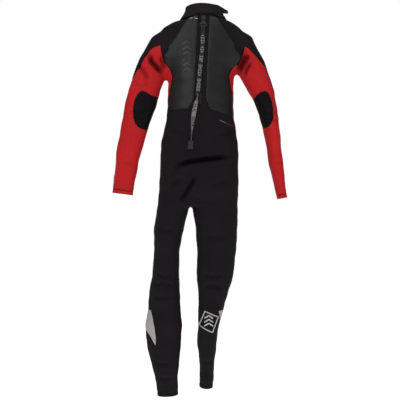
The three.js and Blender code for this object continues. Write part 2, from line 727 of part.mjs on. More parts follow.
// The leash: 20 mm webbing, folded and stitched round the tab's bar
const WEBBING = { width: 16, thick: 1.6 };
const LOOP = { inner: 1.7, tail: 20 };
const leashBar = { y: TAB_PIVOT.y, z: tabBottom + TAB.bar / 2 };
function leashLoop() {
  const outer = LOOP.inner + WEBBING.thick;
  const shape = new THREE.Shape();
  shape.moveTo(outer, 0);
  shape.absarc(0, 0, outer, 0, Math.PI, false);
  shape.lineTo(-outer, -8);
  shape.lineTo(-WEBBING.thick - 0.1, -LOOP.tail);
  shape.lineTo(WEBBING.thick + 0.1, -LOOP.tail);
  shape.lineTo(outer, -8);
  const hole = new THREE.Path();
  hole.absarc(0, 0, LOOP.inner, 0, 2 * Math.PI, true);
  shape.holes.push(hole);
  const settings = { depth: WEBBING.width, bevelEnabled: false, curveSegments: 8 };
  const loop = new THREE.ExtrudeGeometry(shape, settings);
  const turned = new THREE.Matrix4().makeBasis(
    new THREE.Vector3(0, 1, 0),
    new THREE.Vector3(0, 0, 1),
    new THREE.Vector3(1, 0, 0),
  );
  loop.applyMatrix4(turned);
  return loop.translate(-WEBBING.width / 2, leashBar.y, leashBar.z);
}

// The free stretch of the leash, from the loop to its tip: it lies along the zip and then hangs clear.
// Points are in the part's own frame.
const LEASH_POINTS = [
  [7.3, -74.6, -41.2], [6.4, -76.2, -61], [5.9, -77.8, -82], [4.8, -79.7, -105], [2.4, -81.7, -130],
  [-0.4, -83.7, -155], [-3.2, -85.7, -180], [-5.6, -87.8, -205], [-7.6, -90, -230], [-9.6, -92.6, -254],
  [-12.4, -95.6, -277], [-16.2, -98.6, -300], [-21.2, -101.8, -325], [-26, -104, -350], [-29.8, -105.4, -375],
  [-32.4, -106, -400], [-34.8, -106.2, -427], [-36.8, -106, -452],
];
const leashCurve = new THREE.CatmullRomCurve3(LEASH_POINTS.map((p) => new THREE.Vector3(...p)));
const LEASH_STEPS = 22;
const flatSection = () => {
  const [w, t, edge] = [WEBBING.width / 2, WEBBING.thick / 2, 0.4];
  const corner = [[w, t - edge], [w - edge, t]];
  const half = [...corner, ...corner.map(([u, v]) => [-u, v]).reverse()];
  return [...half, ...half.map(([u, v]) => [-u, -v])];
};
function leashStrip() {
  const rings = [];
  for (let i = 0; i <= LEASH_STEPS; i += 1) {
    const along = leashCurve.getTangent(i / LEASH_STEPS);
    const deep = new THREE.Vector3(0, 1, 0).addScaledVector(along, -along.y).normalize();
    const across = new THREE.Vector3().crossVectors(deep, along);
    const at = leashCurve.getPoint(i / LEASH_STEPS);
    const place = ([u, v]) => at.clone().addScaledVector(across, u).addScaledVector(deep, v);
    rings.push(flatSection().map(place));
  }
  return skin(rings);
}
// The tip: a hook-and-loop tab that parks the leash on the suit's back
const TIP = { width: 19, length: 30, thick: 3 };
function leashTip() {
  const end = leashCurve.getPoint(1);
  const down = leashCurve.getTangent(1);
  const tip = new THREE.BoxGeometry(TIP.width, TIP.thick, TIP.length);
  const lean = Math.atan2(down.x, -down.z);
  tip.translate(0, 0, -TIP.length / 2 - 2 * SEAM).rotateY(-lean);
  return tip.translate(end.x, end.y, end.z);
}

// The bottom stop, and the neoprene flap behind the zip, sewn along its left edge
const STOP_LENGTH = 8;
const stopTop = TEETH_BOTTOM - SEAM;
const bottomStop = zipBlock(
  -TOOTH_REACH, TOOTH_REACH, chainLow - 0.6, chainHigh + 0.6, stopTop - STOP_LENGTH, stopTop,
);
const FLAP_BEHIND = plateInner[1] + 1;
function backingFlap() {
  const thick = 2;
  const sewn = CHAIN_DEPTH + TAPE_THICK / 2 + SEAM + thick / 2;
  const free = FLAP_BEHIND + thick / 2;
  const line = [[-17.5, sewn], [-12.8, sewn], [-8.8, free], [0, free + 0.2], [24, free + 0.6]];
  return uprightPrism(bandOutline(line, thick), -ZIP_LENGTH + 6, -10);
}

// ---- Scene graph ----

const finish = (color, roughness, metalness = 0) =>
  new THREE.MeshStandardMaterial({ color, roughness, metalness });
const MATERIAL = {
  jersey: finish(0x222023, 0.9),
  smoothSkin: finish(0x2e2d2e, 0.55),
  red: finish(0xb22024, 0.85),
  patch: finish(0x1a191a, 0.8),
  grey: finish(0x9a9896, 0.8),
  collar: finish(0x221f21, 0.7),
  webbing: finish(0x18181a, 0.8),
  tape: finish(0x151516, 0.85),
  teeth: finish(0x1b1b1d, 0.4),
  metal: finish(0x3a3a3e, 0.35, 0.8),
  hook: finish(0x2a2a2c, 0.95),
  badge: finish(0x1e1d1f, 0.6),
};

const suit = new THREE.Group();
function place(name, shape, material, group = suit) {
  const geometry = shape.isBufferGeometry ? shape : geometryFrom(shape);
  const flat = geometry.index ? geometry.toNonIndexed() : geometry;
  flat.computeVertexNormals();
  const mesh = new THREE.Mesh(flat, material);
  mesh.name = name;
  group.add(mesh);
}

const torsoMaterials = {
  back_panel_left: MATERIAL.smoothSkin,
  back_panel_right: MATERIAL.smoothSkin,
  chest_panel: MATERIAL.smoothSkin,
  side_panel_left: MATERIAL.red,
  side_panel_right: MATERIAL.red,
};
for (const [name, solid] of Object.entries(torso)) {
  place(name, solid, torsoMaterials[name] ?? MATERIAL.jersey);
}
for (const [side, arm, leg] of [["left", armLeft, legLeft], ["right", armRight, legRight]]) {
  place(`shoulder_cap_${side}`, arm.cap, MATERIAL.jersey);
  place(`underarm_gusset_${side}`, arm.gusset, MATERIAL.red);
  place(`sleeve_outer_${side}`, arm.outer, MATERIAL.jersey);
  place(`sleeve_upper_${side}`, arm.upper, MATERIAL.red);
  place(`elbow_panel_${side}`, arm.elbow, MATERIAL.red);
  place(`elbow_patch_${side}`, arm.patch, MATERIAL.patch);
  place(`forearm_panel_${side}`, arm.forearm, MATERIAL.red);
  place(`wrist_hem_${side}`, arm.hem, MATERIAL.red);
  place(`hip_panel_${side}`, leg.hip, MATERIAL.jersey);
  place(`thigh_panel_${side}`, leg.thigh, MATERIAL.jersey);
  place(`knee_panel_${side}`, leg.knee, MATERIAL.jersey);
  place(`knee_pad_${side}`, leg.pad, MATERIAL.patch);
  place(`calf_panel_${side}`, leg.calf, MATERIAL.jersey);
  place(`calf_insert_${side}`, leg.insert, MATERIAL.grey);
  place(`ankle_hem_${side}`, leg.hem, MATERIAL.jersey);
}
place("calf_badge", badge, MATERIAL.badge);
place("collar_band", collarBand, MATERIAL.collar);
place("collar_flap", collarFlap, MATERIAL.collar);
place("collar_loop_patch", loopPatch, MATERIAL.hook);
place("flap_hook_patch", hookPatch, MATERIAL.hook);

suit.add(zipGroup);
place("zip_tape_left", tape(-1), MATERIAL.tape, zipGroup);
place("zip_tape_right", tape(1), MATERIAL.tape, zipGroup);
place("zip_teeth_left", toothRow(-1), MATERIAL.teeth, zipGroup);
place("zip_teeth_right", toothRow(1), MATERIAL.teeth, zipGroup);
place("zip_bottom_stop", bottomStop, MATERIAL.teeth, zipGroup);
place("zip_slider", sliderBody(), MATERIAL.metal, zipGroup);
place("slider_bridge", bridge(), MATERIAL.metal, zipGroup);
place("pull_tab", pullTab(), MATERIAL.metal, zipGroup);
place("zip_backing_flap", backingFlap(), MATERIAL.jersey, zipGroup);
place("leash_loop", leashLoop(), MATERIAL.webbing, zipGroup);
place("leash", leashStrip(), MATERIAL.webbing);
place("leash_tip", leashTip(), MATERIAL.hook);

export default suit;
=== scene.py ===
import json
import math
import random
from functools import lru_cache

import bmesh
import bpy
import numpy as np
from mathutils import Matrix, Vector, noise
from mathutils.bvhtree import BVHTree
from mathutils.kdtree import KDTree


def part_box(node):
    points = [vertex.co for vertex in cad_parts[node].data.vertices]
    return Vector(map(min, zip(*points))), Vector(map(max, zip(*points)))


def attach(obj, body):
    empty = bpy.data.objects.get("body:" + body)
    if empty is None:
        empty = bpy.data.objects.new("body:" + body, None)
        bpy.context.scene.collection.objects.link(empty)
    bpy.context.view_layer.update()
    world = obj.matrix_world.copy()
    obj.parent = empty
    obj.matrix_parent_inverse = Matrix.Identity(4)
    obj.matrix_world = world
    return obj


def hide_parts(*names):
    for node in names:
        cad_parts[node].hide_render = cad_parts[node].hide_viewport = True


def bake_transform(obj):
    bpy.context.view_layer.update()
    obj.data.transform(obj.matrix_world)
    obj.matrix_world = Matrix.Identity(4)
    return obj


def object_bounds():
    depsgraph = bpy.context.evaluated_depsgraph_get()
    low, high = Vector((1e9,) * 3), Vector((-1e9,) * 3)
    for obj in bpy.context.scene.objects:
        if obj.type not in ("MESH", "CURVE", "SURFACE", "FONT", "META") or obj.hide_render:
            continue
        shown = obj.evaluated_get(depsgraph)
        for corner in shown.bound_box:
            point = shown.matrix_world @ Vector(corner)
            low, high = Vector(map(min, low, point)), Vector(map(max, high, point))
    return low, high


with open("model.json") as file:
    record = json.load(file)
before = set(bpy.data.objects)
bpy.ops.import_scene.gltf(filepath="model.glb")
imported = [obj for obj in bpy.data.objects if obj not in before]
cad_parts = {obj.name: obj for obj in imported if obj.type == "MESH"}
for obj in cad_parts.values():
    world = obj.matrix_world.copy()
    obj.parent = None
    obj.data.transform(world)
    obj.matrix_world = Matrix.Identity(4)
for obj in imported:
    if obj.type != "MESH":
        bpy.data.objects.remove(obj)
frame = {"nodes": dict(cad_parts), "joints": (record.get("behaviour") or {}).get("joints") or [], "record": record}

bl_info = {
    "name": "Full Wetsuit",
    "version": (1, 0, 0),
    "blender": (4, 5, 0),
    "location": "View3D > Sidebar > Wetsuit",
    "description": "Sews a hanging back-zip wetsuit over its packed frame",
    "category": "Add Mesh",
}

CAD_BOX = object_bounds()
NODE_SLOTS = {part["node"]: part["material_slot"] for part in frame["record"]["subparts"]}

# ---------------------------------------------------------------- panels of the suit

TORSO_PANELS = (
    "back_panel_left", "back_panel_right", "zip_surround",
    "shoulder_panel_left", "shoulder_panel_right", "chest_panel",
    "side_panel_left", "side_panel_right", "lower_back_panel", "abdomen_panel",
)
ARM_PANELS = (
    "shoulder_cap", "underarm_gusset", "sleeve_outer", "sleeve_upper",
    "elbow_panel", "elbow_patch", "forearm_panel", "wrist_hem",
)
LEG_PANELS = (
    "hip_panel", "thigh_panel", "knee_panel", "knee_pad",
    "calf_panel", "calf_insert", "ankle_hem",
)
# What fills the slot of the zip, where the outer surface is left open.
SLOT_NODES = (
    "zip_tape_left", "zip_tape_right", "zip_teeth_left", "zip_teeth_right", "zip_backing_flap",
)
SIDES = ("left", "right")

# ---------------------------------------------------------------- sizes, in metres

SLAB = 0.012  # height of each slice that the filled form is made of
SLAB_LAP = 0.001  # how far each slice reaches into the next
END_REACH = 0.016  # how far the form runs on past each hem before it is trimmed
NECK_TRIM_REACH = 0.16  # how far from each cut its trim may act
LIMB_TRIM_REACH = 0.085
DOWN = Vector((0, 0, -1))
SMOOTH_ROUNDS = 34
RESTORE_ROUNDS = 24  # rounds over what the smoothing took away, which is put back
LABEL_REACH = 0.030  # how near a point must be to a panel to be taken for it
SPLIT_MARGIN = 0.08  # least share of an edge on either side of a cut

FULL_CREASE = 0.016  # a fold this deep takes the whole painted shade of the creases
SEAM_GROOVE = 0.0010
SEAM_GROOVE_WIDTH = 0.0036
THREAD_RADIUS = 0.00032
THREAD_PITCH = 0.0028
THREAD_HALF_WIDTH = 0.0016
THREAD_FLATNESS = 1.3  # width of a thread against its height

ELBOW_REACH = 0.078
SHOULDER_START = (0.138, 0.0, -0.198)
SHOULDER_DIRECTION = (0.85, 0.0, -0.53)
SHOULDER_REACH = 0.065

# Folds of the hanging suit: side, depth, half width and line of (x, z).
FOLDS = (
    ("back", 0.0210, 0.0080, ((-0.200, -0.112), (-0.186, -0.150), (-0.162, -0.174), (-0.136, -0.196))),
    ("back", 0.0100, 0.0075, ((-0.150, -0.118), (-0.146, -0.150), (-0.134, -0.182))),
    ("back", 0.0230, 0.0095, ((0.182, -0.116), (0.168, -0.140), (0.152, -0.164), (0.140, -0.192))),
    ("back", 0.0110, 0.0065, ((0.196, -0.148), (0.176, -0.172), (0.158, -0.205))),
    ("back", 0.0190, 0.0085, (
        (-0.116, -0.560), (-0.075, -0.538), (-0.042, -0.527), (0.040, -0.516), (0.130, -0.507))),
    ("back", 0.0080, 0.0090, ((-0.246, -0.150), (-0.214, -0.190), (-0.196, -0.226))),
    ("back", 0.0070, 0.0090, ((0.150, -0.096), (0.160, -0.126), (0.152, -0.156))),
    ("back", 0.0130, 0.0075, ((-0.012, -0.570), (-0.036, -0.612), (-0.060, -0.650), (-0.080, -0.682))),
    ("back", 0.0050, 0.0090, ((-0.120, -0.620), (-0.090, -0.600), (-0.060, -0.592))),
    ("back", 0.0040, 0.0110, ((0.020, -0.620), (0.070, -0.608), (0.128, -0.590))),
    ("back", 0.0045, 0.0090, ((-0.120, -0.402), (-0.085, -0.420), (-0.050, -0.428))),
    ("back", 0.0040, 0.0090, ((0.070, -0.436), (0.100, -0.424), (0.128, -0.404))),
    ("back", 0.0040, 0.0100, ((-0.168, -0.770), (-0.140, -0.782), (-0.100, -0.786))),
    ("back", 0.0040, 0.0100, ((0.000, -0.800), (0.050, -0.812), (0.110, -0.802))),
    ("back", 0.0050, 0.0080, ((-0.176, -0.945), (-0.140, -0.958), (-0.098, -0.952))),
    ("back", 0.0045, 0.0080, ((-0.180, -0.990), (-0.145, -0.982), (-0.100, -0.994))),
    ("back", 0.0040, 0.0080, ((-0.182, -1.030), (-0.150, -1.040), (-0.104, -1.036))),
    ("back", 0.0050, 0.0080, ((-0.004, -0.948), (0.040, -0.962), (0.096, -0.952))),
    ("back", 0.0045, 0.0080, ((-0.002, -1.002), (0.040, -0.990), (0.090, -1.004))),
    ("back", 0.0040, 0.0080, ((-0.186, -1.280), (-0.150, -1.292), (-0.108, -1.286))),
    ("back", 0.0040, 0.0070, ((-0.172, -1.340), (-0.140, -1.350), (-0.104, -1.344))),
    ("back", 0.0040, 0.0070, ((0.000, -1.270), (0.022, -1.280), (0.050, -1.274))),
    ("both", 0.0040, 0.0070, ((-0.284, -0.330), (-0.240, -0.342), (-0.196, -0.336))),
    ("both", 0.0035, 0.0070, ((-0.276, -0.362), (-0.240, -0.356), (-0.206, -0.366))),
    ("both", 0.0040, 0.0070, ((0.224, -0.332), (0.258, -0.344), (0.296, -0.336))),
    ("both", 0.0035, 0.0070, ((0.236, -0.372), (0.262, -0.364), (0.300, -0.374))),
    ("back", 0.0035, 0.0080, ((-0.270, -0.222), (-0.226, -0.236), (-0.180, -0.230))),
    ("back", 0.0030, 0.0080, ((0.200, -0.250), (0.236, -0.262), (0.270, -0.254))),
    ("back", 0.0030, 0.0070, ((-0.300, -0.520), (-0.280, -0.530), (-0.255, -0.526))),
    ("back", 0.0030, 0.0070, ((0.270, -0.520), (0.290, -0.530), (0.316, -0.526))),
    ("front", 0.0070, 0.0100, ((-0.120, -0.590), (-0.060, -0.600), (0.060, -0.598), (0.120, -0.580))),
    ("front", 0.0050, 0.0100, ((-0.120, -0.470), (-0.040, -0.486), (0.050, -0.480), (0.120, -0.466))),
    ("front", 0.0050, 0.0090, ((-0.176, -0.700), (-0.130, -0.716), (-0.060, -0.706))),
    ("front", 0.0050, 0.0090, ((-0.020, -0.706), (0.060, -0.716), (0.136, -0.700))),
)

# The route of the free strap, from the loop on the pull tab down to its tip.
LEASH_POINTS = (
    (0.0073, -0.0746, -0.0412), (0.0064, -0.0762, -0.0610), (0.0059, -0.0778, -0.0820),
    (0.0048, -0.0797, -0.1050), (0.0024, -0.0817, -0.1300), (-0.0004, -0.0837, -0.1550),
    (-0.0032, -0.0857, -0.1800), (-0.0056, -0.0878, -0.2050), (-0.0076, -0.0900, -0.2300),
    (-0.0096, -0.0926, -0.2540), (-0.0124, -0.0956, -0.2770), (-0.0162, -0.0986, -0.3000),
    (-0.0212, -0.1018, -0.3250), (-0.0260, -0.1040, -0.3500), (-0.0298, -0.1054, -0.3750),
    (-0.0324, -0.1060, -0.4000), (-0.0348, -0.1062, -0.4270), (-0.0368, -0.1060, -0.4520),
)
LEASH_WIDTH = 0.016
LEASH_THICKNESS = 0.0016
LEASH_ROWS = 169  # rows of points along the strap, which also carry its print
# Where the strap turns over: distance along it and the angle that it has turned by then.
LEASH_TWIST = ((0.0, 0.0), (0.226, 0.0), (0.262, 128.0), (0.330, 206.0), (0.376, 252.0), (0.420, 266.0))


def linear(red, green, blue):
    """Linear colour of a shade written in display values from 0 to 255."""
    def one(value):
        share = value / 255
        return share / 12.92 if share <= 0.04045 else ((share + 0.055) / 1.055) ** 2.4
    return one(red), one(green), one(blue)


def smoothstep(values):
    clipped = np.clip(values, 0, 1)
    return clipped * clipped * (3 - 2 * clipped)


# ---------------------------------------------------------------- settings

class WetsuitSizes(bpy.types.PropertyGroup):
    """Sizes of the soft pieces."""
    grid: bpy.props.FloatProperty(
        name="Surface grid", description="Spacing of the points of the panels",
        default=0.0042, min=0.003, max=0.02, unit="LENGTH")
    thickness: bpy.props.FloatProperty(
        name="Panel thickness", description="Thickness of the foam with its jersey",
        default=0.003, min=0.001, max=0.006, unit="LENGTH")
    drape: bpy.props.FloatProperty(
        name="Drape", description="Height of the soft waves of the hanging panels",
        default=0.0032, min=0.0, max=0.01, unit="LENGTH")
    fold_share: bpy.props.FloatProperty(
        name="Folds", description="Share of the full depth that each fold takes",
        default=1.0, min=0.0, max=2.0, subtype="FACTOR")


class WetsuitColours(bpy.types.PropertyGroup):
    """Colours of the finishes."""
    black: bpy.props.FloatVectorProperty(
        name="Black jersey", description="Knit of the shoulders, seat and legs",
        default=linear(22, 19, 22), size=3, min=0, max=1, subtype="COLOR")
    skin: bpy.props.FloatVectorProperty(
        name="Smooth skin", description="Bare rubber of the back and chest",
        default=linear(26, 25, 25), size=3, min=0, max=1, subtype="COLOR")
    red: bpy.props.FloatVectorProperty(
        name="Red jersey", description="Knit of the sleeves and side panels",
        default=linear(182, 30, 33), size=3, min=0, max=1, subtype="COLOR")
    patch: bpy.props.FloatVectorProperty(
        name="Tough patch", description="Elbow patches and knee pads",
        default=linear(18, 16, 18), size=3, min=0, max=1, subtype="COLOR")
    grey: bpy.props.FloatVectorProperty(
        name="Grey insert", description="Light inserts of the calves",
        default=linear(160, 158, 156), size=3, min=0, max=1, subtype="COLOR")


def sizes():
    return bpy.context.scene.wetsuit_sizes


def colours():
    return bpy.context.scene.wetsuit_colours


# ---------------------------------------------------------------- materials

KNIT_LOOP = 0.0011  # width of one loop of the jersey
KNIT_NARROWNESS = 0.62  # width of a loop against its height
BUMP_STRENGTH = 0.6


class Shader:
    """Builds one node material around a Principled shader."""

    def __init__(self, name, colour, roughness, metallic=0.0, specular=0.5, sheen=0.0):
        self.material = bpy.data.materials.new(name)
        self.material.use_nodes = True
        self.tree = self.material.node_tree
        self.principled = self.tree.nodes["Principled BSDF"]
        self.colour = colour
        self.set_socket("Base Color", (*colour, 1))
        self.set_socket("Roughness", roughness)
        self.set_socket("Metallic", metallic)
        self.set_socket("Specular IOR Level", specular)
        self.set_socket("Sheen Weight", sheen)
        self.set_socket("Sheen Roughness", 0.45)
        self.heights = []
        self.place = self.node("ShaderNodeTexCoord").outputs["Object"]

    def set_socket(self, name, value):
        self.principled.inputs[name].default_value = value

    def node(self, kind, **values):
        made = self.tree.nodes.new(kind)
        for name, value in values.items():
            setattr(made, name, value)
        return made

    def link(self, output, socket):
        self.tree.links.new(output, socket)

    def texture(self, kind, output, stretch=(1, 1, 1), **inputs):
        """A procedural texture in the suit's own space, stretched along its axes."""
        mapping = self.node("ShaderNodeMapping")
        mapping.inputs["Scale"].default_value = stretch
        self.link(self.place, mapping.inputs["Vector"])
        made = self.node(kind)
        self.link(mapping.outputs["Vector"], made.inputs["Vector"])
        for name, value in inputs.items():
            made.inputs[name].default_value = value
        return made.outputs[output]

    def ramp(self, value, low, high, to_low, to_high):
        """Maps the stretch from low to high onto the one from to_low to to_high."""
        made = self.node("ShaderNodeMapRange")
        for name, number in zip(("From Min", "From Max", "To Min", "To Max"), (low, high, to_low, to_high)):
            made.inputs[name].default_value = number
        self.link(value, made.inputs["Value"])
        return made.outputs["Result"]

    def math(self, operation, first, second):
        made = self.node("ShaderNodeMath", operation=operation)
        for socket, value in zip(made.inputs, (first, second)):
            if isinstance(value, (int, float)):
                socket.default_value = value
            else:
                self.link(value, socket)
        return made.outputs[0]

    def tint(self, factor, colour):
        """Mixes a second colour into the base colour by a factor."""
        mix = self.node("ShaderNodeMix", data_type="RGBA")
        base = self.principled.inputs["Base Color"]
        if base.is_linked:
            self.link(base.links[0].from_socket, mix.inputs[6])
        else:
            mix.inputs[6].default_value = base.default_value
        mix.inputs[7].default_value = (*colour, 1)
        self.link(factor, mix.inputs[0])
        self.link(mix.outputs[2], base)

    def rough(self, factor, low, high):
        """Varies the roughness from low to high by a factor."""
        self.link(self.ramp(factor, 0, 1, low, high), self.principled.inputs["Roughness"])

    def relief(self, height, depth):
        """Adds a height, from 0 to 1, times a depth in metres to the bump."""
        self.heights.append(self.math("MULTIPLY", height, depth * 1000))

    def done(self):
        """Joins the heights into one bump and gives the material."""
        if self.heights:
            total = self.heights[0]
            for height in self.heights[1:]:
                total = self.math("ADD", total, height)
            bump = self.node("ShaderNodeBump")
            bump.inputs["Strength"].default_value = BUMP_STRENGTH
            bump.inputs["Distance"].default_value = 0.001
            self.link(total, bump.inputs["Height"])
            self.link(bump.outputs["Normal"], self.principled.inputs["Normal"])
        return self.material


def darker(colour, share):
    """The colour times a share, which above 1 makes it lighter."""
    return tuple(value * share for value in colour)


def knit(name, colour, roughness, sheen, seams=True, wear=1.5):
    """Laminated jersey: rows of small loops, a soft sheen, and a line pressed in at the seams."""
    shader = Shader(name, colour, roughness, specular=0.12, sheen=sheen)
    shader.principled.inputs["Sheen Tint"].default_value = (*[min(1, 0.4 + v) for v in colour], 1)
    broad = shader.texture("ShaderNodeTexNoise", "Fac", Scale=7.0, Detail=3.0, Roughness=0.55)
    shader.tint(shader.ramp(broad, 0.35, 0.75, 0.0, 0.55), darker(colour, wear))
    speck = shader.texture("ShaderNodeTexNoise", "Fac", Scale=420.0, Detail=2.0)
    shader.tint(shader.ramp(speck, 0.55, 0.85, 0.0, 0.5), darker(colour, 0.55))
    per_metre = 1 / KNIT_LOOP
    loops = shader.texture(
        "ShaderNodeTexVoronoi", "Distance",
        stretch=(per_metre, per_metre, KNIT_NARROWNESS * per_metre), Scale=1.0, Randomness=0.35)
    shader.relief(loops, 0.00030)
    shader.relief(speck, 0.00012)
    creases = shader.texture("ShaderNodeTexNoise", "Fac", stretch=(1, 1, 2.2), Scale=34.0, Detail=4.0)
    shader.relief(creases, 0.0009)
    if seams:
        press_seams(shader, colour)
    return shader.done()


def press_seams(shader, colour):
    """A dark pressed line along the seams, and painted shade in the creases."""
    away = shader.node("ShaderNodeAttribute", attribute_name="seam_distance").outputs["Fac"]
    near = shader.ramp(away, 0.0004, 0.0022, 1.0, 0.0)
    shader.tint(near, darker(colour, 0.42))
    shader.relief(shader.ramp(away, 0.0, 0.0035, 0.0, 1.0), 0.0008)
    # Painted shade: the creases of the folds are darkened in the base colour.
    painted_crease_shade = shader.node("ShaderNodeAttribute", attribute_name="painted_crease_shade").outputs["Fac"]
    shader.tint(shader.ramp(painted_crease_shade, 0.08, 0.85, 0.0, 0.9), darker(colour, 0.28))


def rubber(name, colour):
    """Bare smooth-skin foam: an even satin film with a fine emboss and rubbed high places."""
    shader = Shader(name, colour, 0.5, specular=0.26)
    broad = shader.texture("ShaderNodeTexNoise", "Fac", Scale=5.0, Detail=4.0)
    shader.tint(shader.ramp(broad, 0.4, 0.75, 0.0, 0.5), darker(colour, 1.45))
    shader.rough(broad, 0.38, 0.56)
    pores = shader.texture("ShaderNodeTexVoronoi", "Distance", Scale=620.0)
    shader.relief(pores, 0.00022)
    wrinkles = shader.texture("ShaderNodeTexNoise", "Fac", stretch=(1, 1, 1.8), Scale=60.0, Detail=5.0)
    shader.relief(wrinkles, 0.0007)
    press_seams(shader, colour)
    return shader.done()


def tough_knit(name, colour):
    """Hard-wearing patch: a diamond print of rubber over a tight knit."""
    shader = Shader(name, colour, 0.74, specular=0.07)
    diamonds = shader.texture("ShaderNodeTexWave", "Fac", Scale=95.0)
    loops = shader.texture("ShaderNodeTexVoronoi", "Distance", Scale=240.0, Randomness=0.1)
    rubbed = shader.texture("ShaderNodeTexNoise", "Fac", Scale=16.0, Detail=5.0)
    shader.tint(shader.ramp(rubbed, 0.5, 0.8, 0.0, 0.6), darker(colour, 1.9))
    shader.rough(rubbed, 0.64, 0.82)
    shader.relief(loops, 0.0006)
    shader.relief(diamonds, 0.0002)
    press_seams(shader, colour)
    return shader.done()


def webbing(name, colour, roughness=0.7):
    """Woven tape: slanted ribs across the width."""
    shader = Shader(name, colour, roughness, specular=0.3, sheen=0.12)
    ribs = shader.texture("ShaderNodeTexWave", "Fac", stretch=(0.4, 0.4, 1), Scale=160.0, Distortion=0.6)
    shader.relief(ribs, 0.0004)
    shader.tint(shader.ramp(ribs, 0.2, 0.8, 0.5, 0.0), darker(colour, 0.6))
    fuzz = shader.texture("ShaderNodeTexNoise", "Fac", Scale=900.0, Detail=2.0)
    shader.relief(fuzz, 0.0002)
    return shader.done()


def plastic(name, colour):
    """Moulded plastic with a fine grain and dull scuffs."""
    shader = Shader(name, colour, 0.38)
    grain = shader.texture("ShaderNodeTexNoise", "Fac", Scale=700.0, Detail=3.0)
    shader.relief(grain, 0.0001)
    scuffs = shader.texture("ShaderNodeTexNoise", "Fac", stretch=(3, 1, 1), Scale=90.0, Detail=5.0)
    shader.rough(scuffs, 0.30, 0.58)
    shader.tint(shader.ramp(scuffs, 0.55, 0.8, 0.0, 0.4), darker(colour, 1.8))
    return shader.done()


def metal(name, colour):
    """Dark cast metal, scuffed."""
    shader = Shader(name, colour, 0.3, metallic=0.85)
    scuffs = shader.texture("ShaderNodeTexNoise", "Fac", stretch=(1, 1, 4), Scale=260.0, Detail=5.0)
    shader.rough(scuffs, 0.22, 0.52)
    shader.relief(scuffs, 0.0001)
    shader.tint(shader.ramp(scuffs, 0.5, 0.8, 0.0, 0.5), darker(colour, 0.5))
    return shader.done()


def pile(name, colour):
    """Hook or loop tape: a dense field of tiny bristles."""
    shader = Shader(name, colour, 0.85, specular=0.2, sheen=0.3)
    bristles = shader.texture("ShaderNodeTexVoronoi", "Distance", Scale=900.0)
    shader.relief(bristles, 0.0009)
    shader.tint(shader.ramp(bristles, 0.1, 0.6, 0.0, 0.6), darker(colour, 0.4))
    return shader.done()


def ink(name, colour, roughness=0.5):
    """Rubbery print on the jersey, a little cracked."""
    shader = Shader(name, colour, roughness, specular=0.4)
    cracks = shader.texture("ShaderNodeTexNoise", "Fac", Scale=380.0, Detail=4.0)
    shader.tint(shader.ramp(cracks, 0.52, 0.72, 0.0, 0.7), darker(colour, 0.45))
    shader.relief(cracks, 0.0002)
    return shader.done()


@lru_cache(maxsize=None)
def finish_of(slot):
    """The material of a record slot, made once."""
    tone = colours()
    makers = {
        "black_jersey": lambda: knit("black jersey", tuple(tone.black), 0.86, 0.02),
        "smooth_skin": lambda: rubber("smooth skin", tuple(tone.skin)),
        "red_jersey": lambda: knit("red jersey", tuple(tone.red), 0.8, 0.03, wear=1.25),
        "tough_patch": lambda: tough_knit("tough patch", tuple(tone.patch)),
        "grey_insert": lambda: knit("grey insert", tuple(tone.grey), 0.7, 0.05, wear=1.2),
        "collar_neoprene": lambda: knit("collar neoprene", linear(27, 24, 25), 0.8, 0.02, seams=False),
        "webbing": lambda: webbing("webbing", linear(30, 29, 31)),
        "webbing_reverse": lambda: webbing("webbing reverse", linear(128, 126, 125)),
        "zip_tape": lambda: webbing("zip tape", linear(26, 25, 27)),
        "zip_plastic": lambda: plastic("zip plastic", linear(30, 30, 32)),
        "zip_metal": lambda: metal("zip metal", linear(62, 62, 66)),
        "hook_loop": lambda: pile("loop tape", linear(30, 29, 31)),
        "hook_grey": lambda: pile("hook tape", linear(168, 167, 165)),
        "badge_print": lambda: ink("badge print", linear(186, 184, 182)),
        "dark_print": lambda: ink("dark print", linear(19, 18, 18), 0.36),
        "dim_print": lambda: ink("dim print", linear(120, 118, 118)),
        "thread": lambda: webbing("sewing thread", linear(24, 23, 25), 0.6),
        "red_thread": lambda: webbing("red thread", linear(118, 20, 22), 0.6),
        "pale_thread": lambda: webbing("pale thread", linear(196, 194, 192), 0.6),
    }
    return makers[slot]()


# ---------------------------------------------------------------- mesh helpers

def add_object(name, data):
    made = bpy.data.objects.new(name, data)
    bpy.context.scene.collection.objects.link(made)
    return made


def mesh_object(name, points, faces, materials, sharp_angle=50.0):
    """A smooth piece whose edges stay sharp above an angle in degrees."""
    if isinstance(faces, np.ndarray):
        faces = faces.tolist()
    mesh = bpy.data.meshes.new(name)
    mesh.from_pydata(np.asarray(points).tolist(), [], faces)
    mesh.validate()
    for material in materials:
        mesh.materials.append(material)
    mesh.polygons.foreach_set("use_smooth", [True] * len(mesh.polygons))
    mesh.set_sharp_from_angle(angle=math.radians(sharp_angle))
    mesh.update()
    return add_object(name, mesh)


def face_outward(made):
    """Turns a closed mesh's faces outward."""
    form = bmesh.new()
    form.from_mesh(made.data)
    bmesh.ops.recalc_face_normals(form, faces=form.faces)
    form.to_mesh(made.data)
    form.free()
    return made


def ring_faces(rings, steps, closed=False):
    """Quads between rings of points in a row. Closed joins the last ring to the first."""
    faces = []
    for i in range(rings if closed else rings - 1):
        a, b = i * steps, ((i + 1) % rings) * steps
        for k in range(steps):
            nxt = (k + 1) % steps
            faces.append([a + k, a + nxt, b + nxt, b + k])
    return faces


def unit(vectors):
    """The rows at length one."""
    return vectors / np.maximum(np.linalg.norm(vectors, axis=1, keepdims=True), 1e-9)


def run_of(line):
    """How far along a line each of its points lies."""
    return np.concatenate([[0], np.cumsum(np.linalg.norm(np.diff(line, axis=0), axis=1))])


def averaged_line(line, rounds):
    """Smooths the points between the two ends of a line."""
    line = line.copy()
    for _ in range(rounds):
        line[1:-1] = line[1:-1] * 0.5 + (line[:-2] + line[2:]) * 0.25
    return line


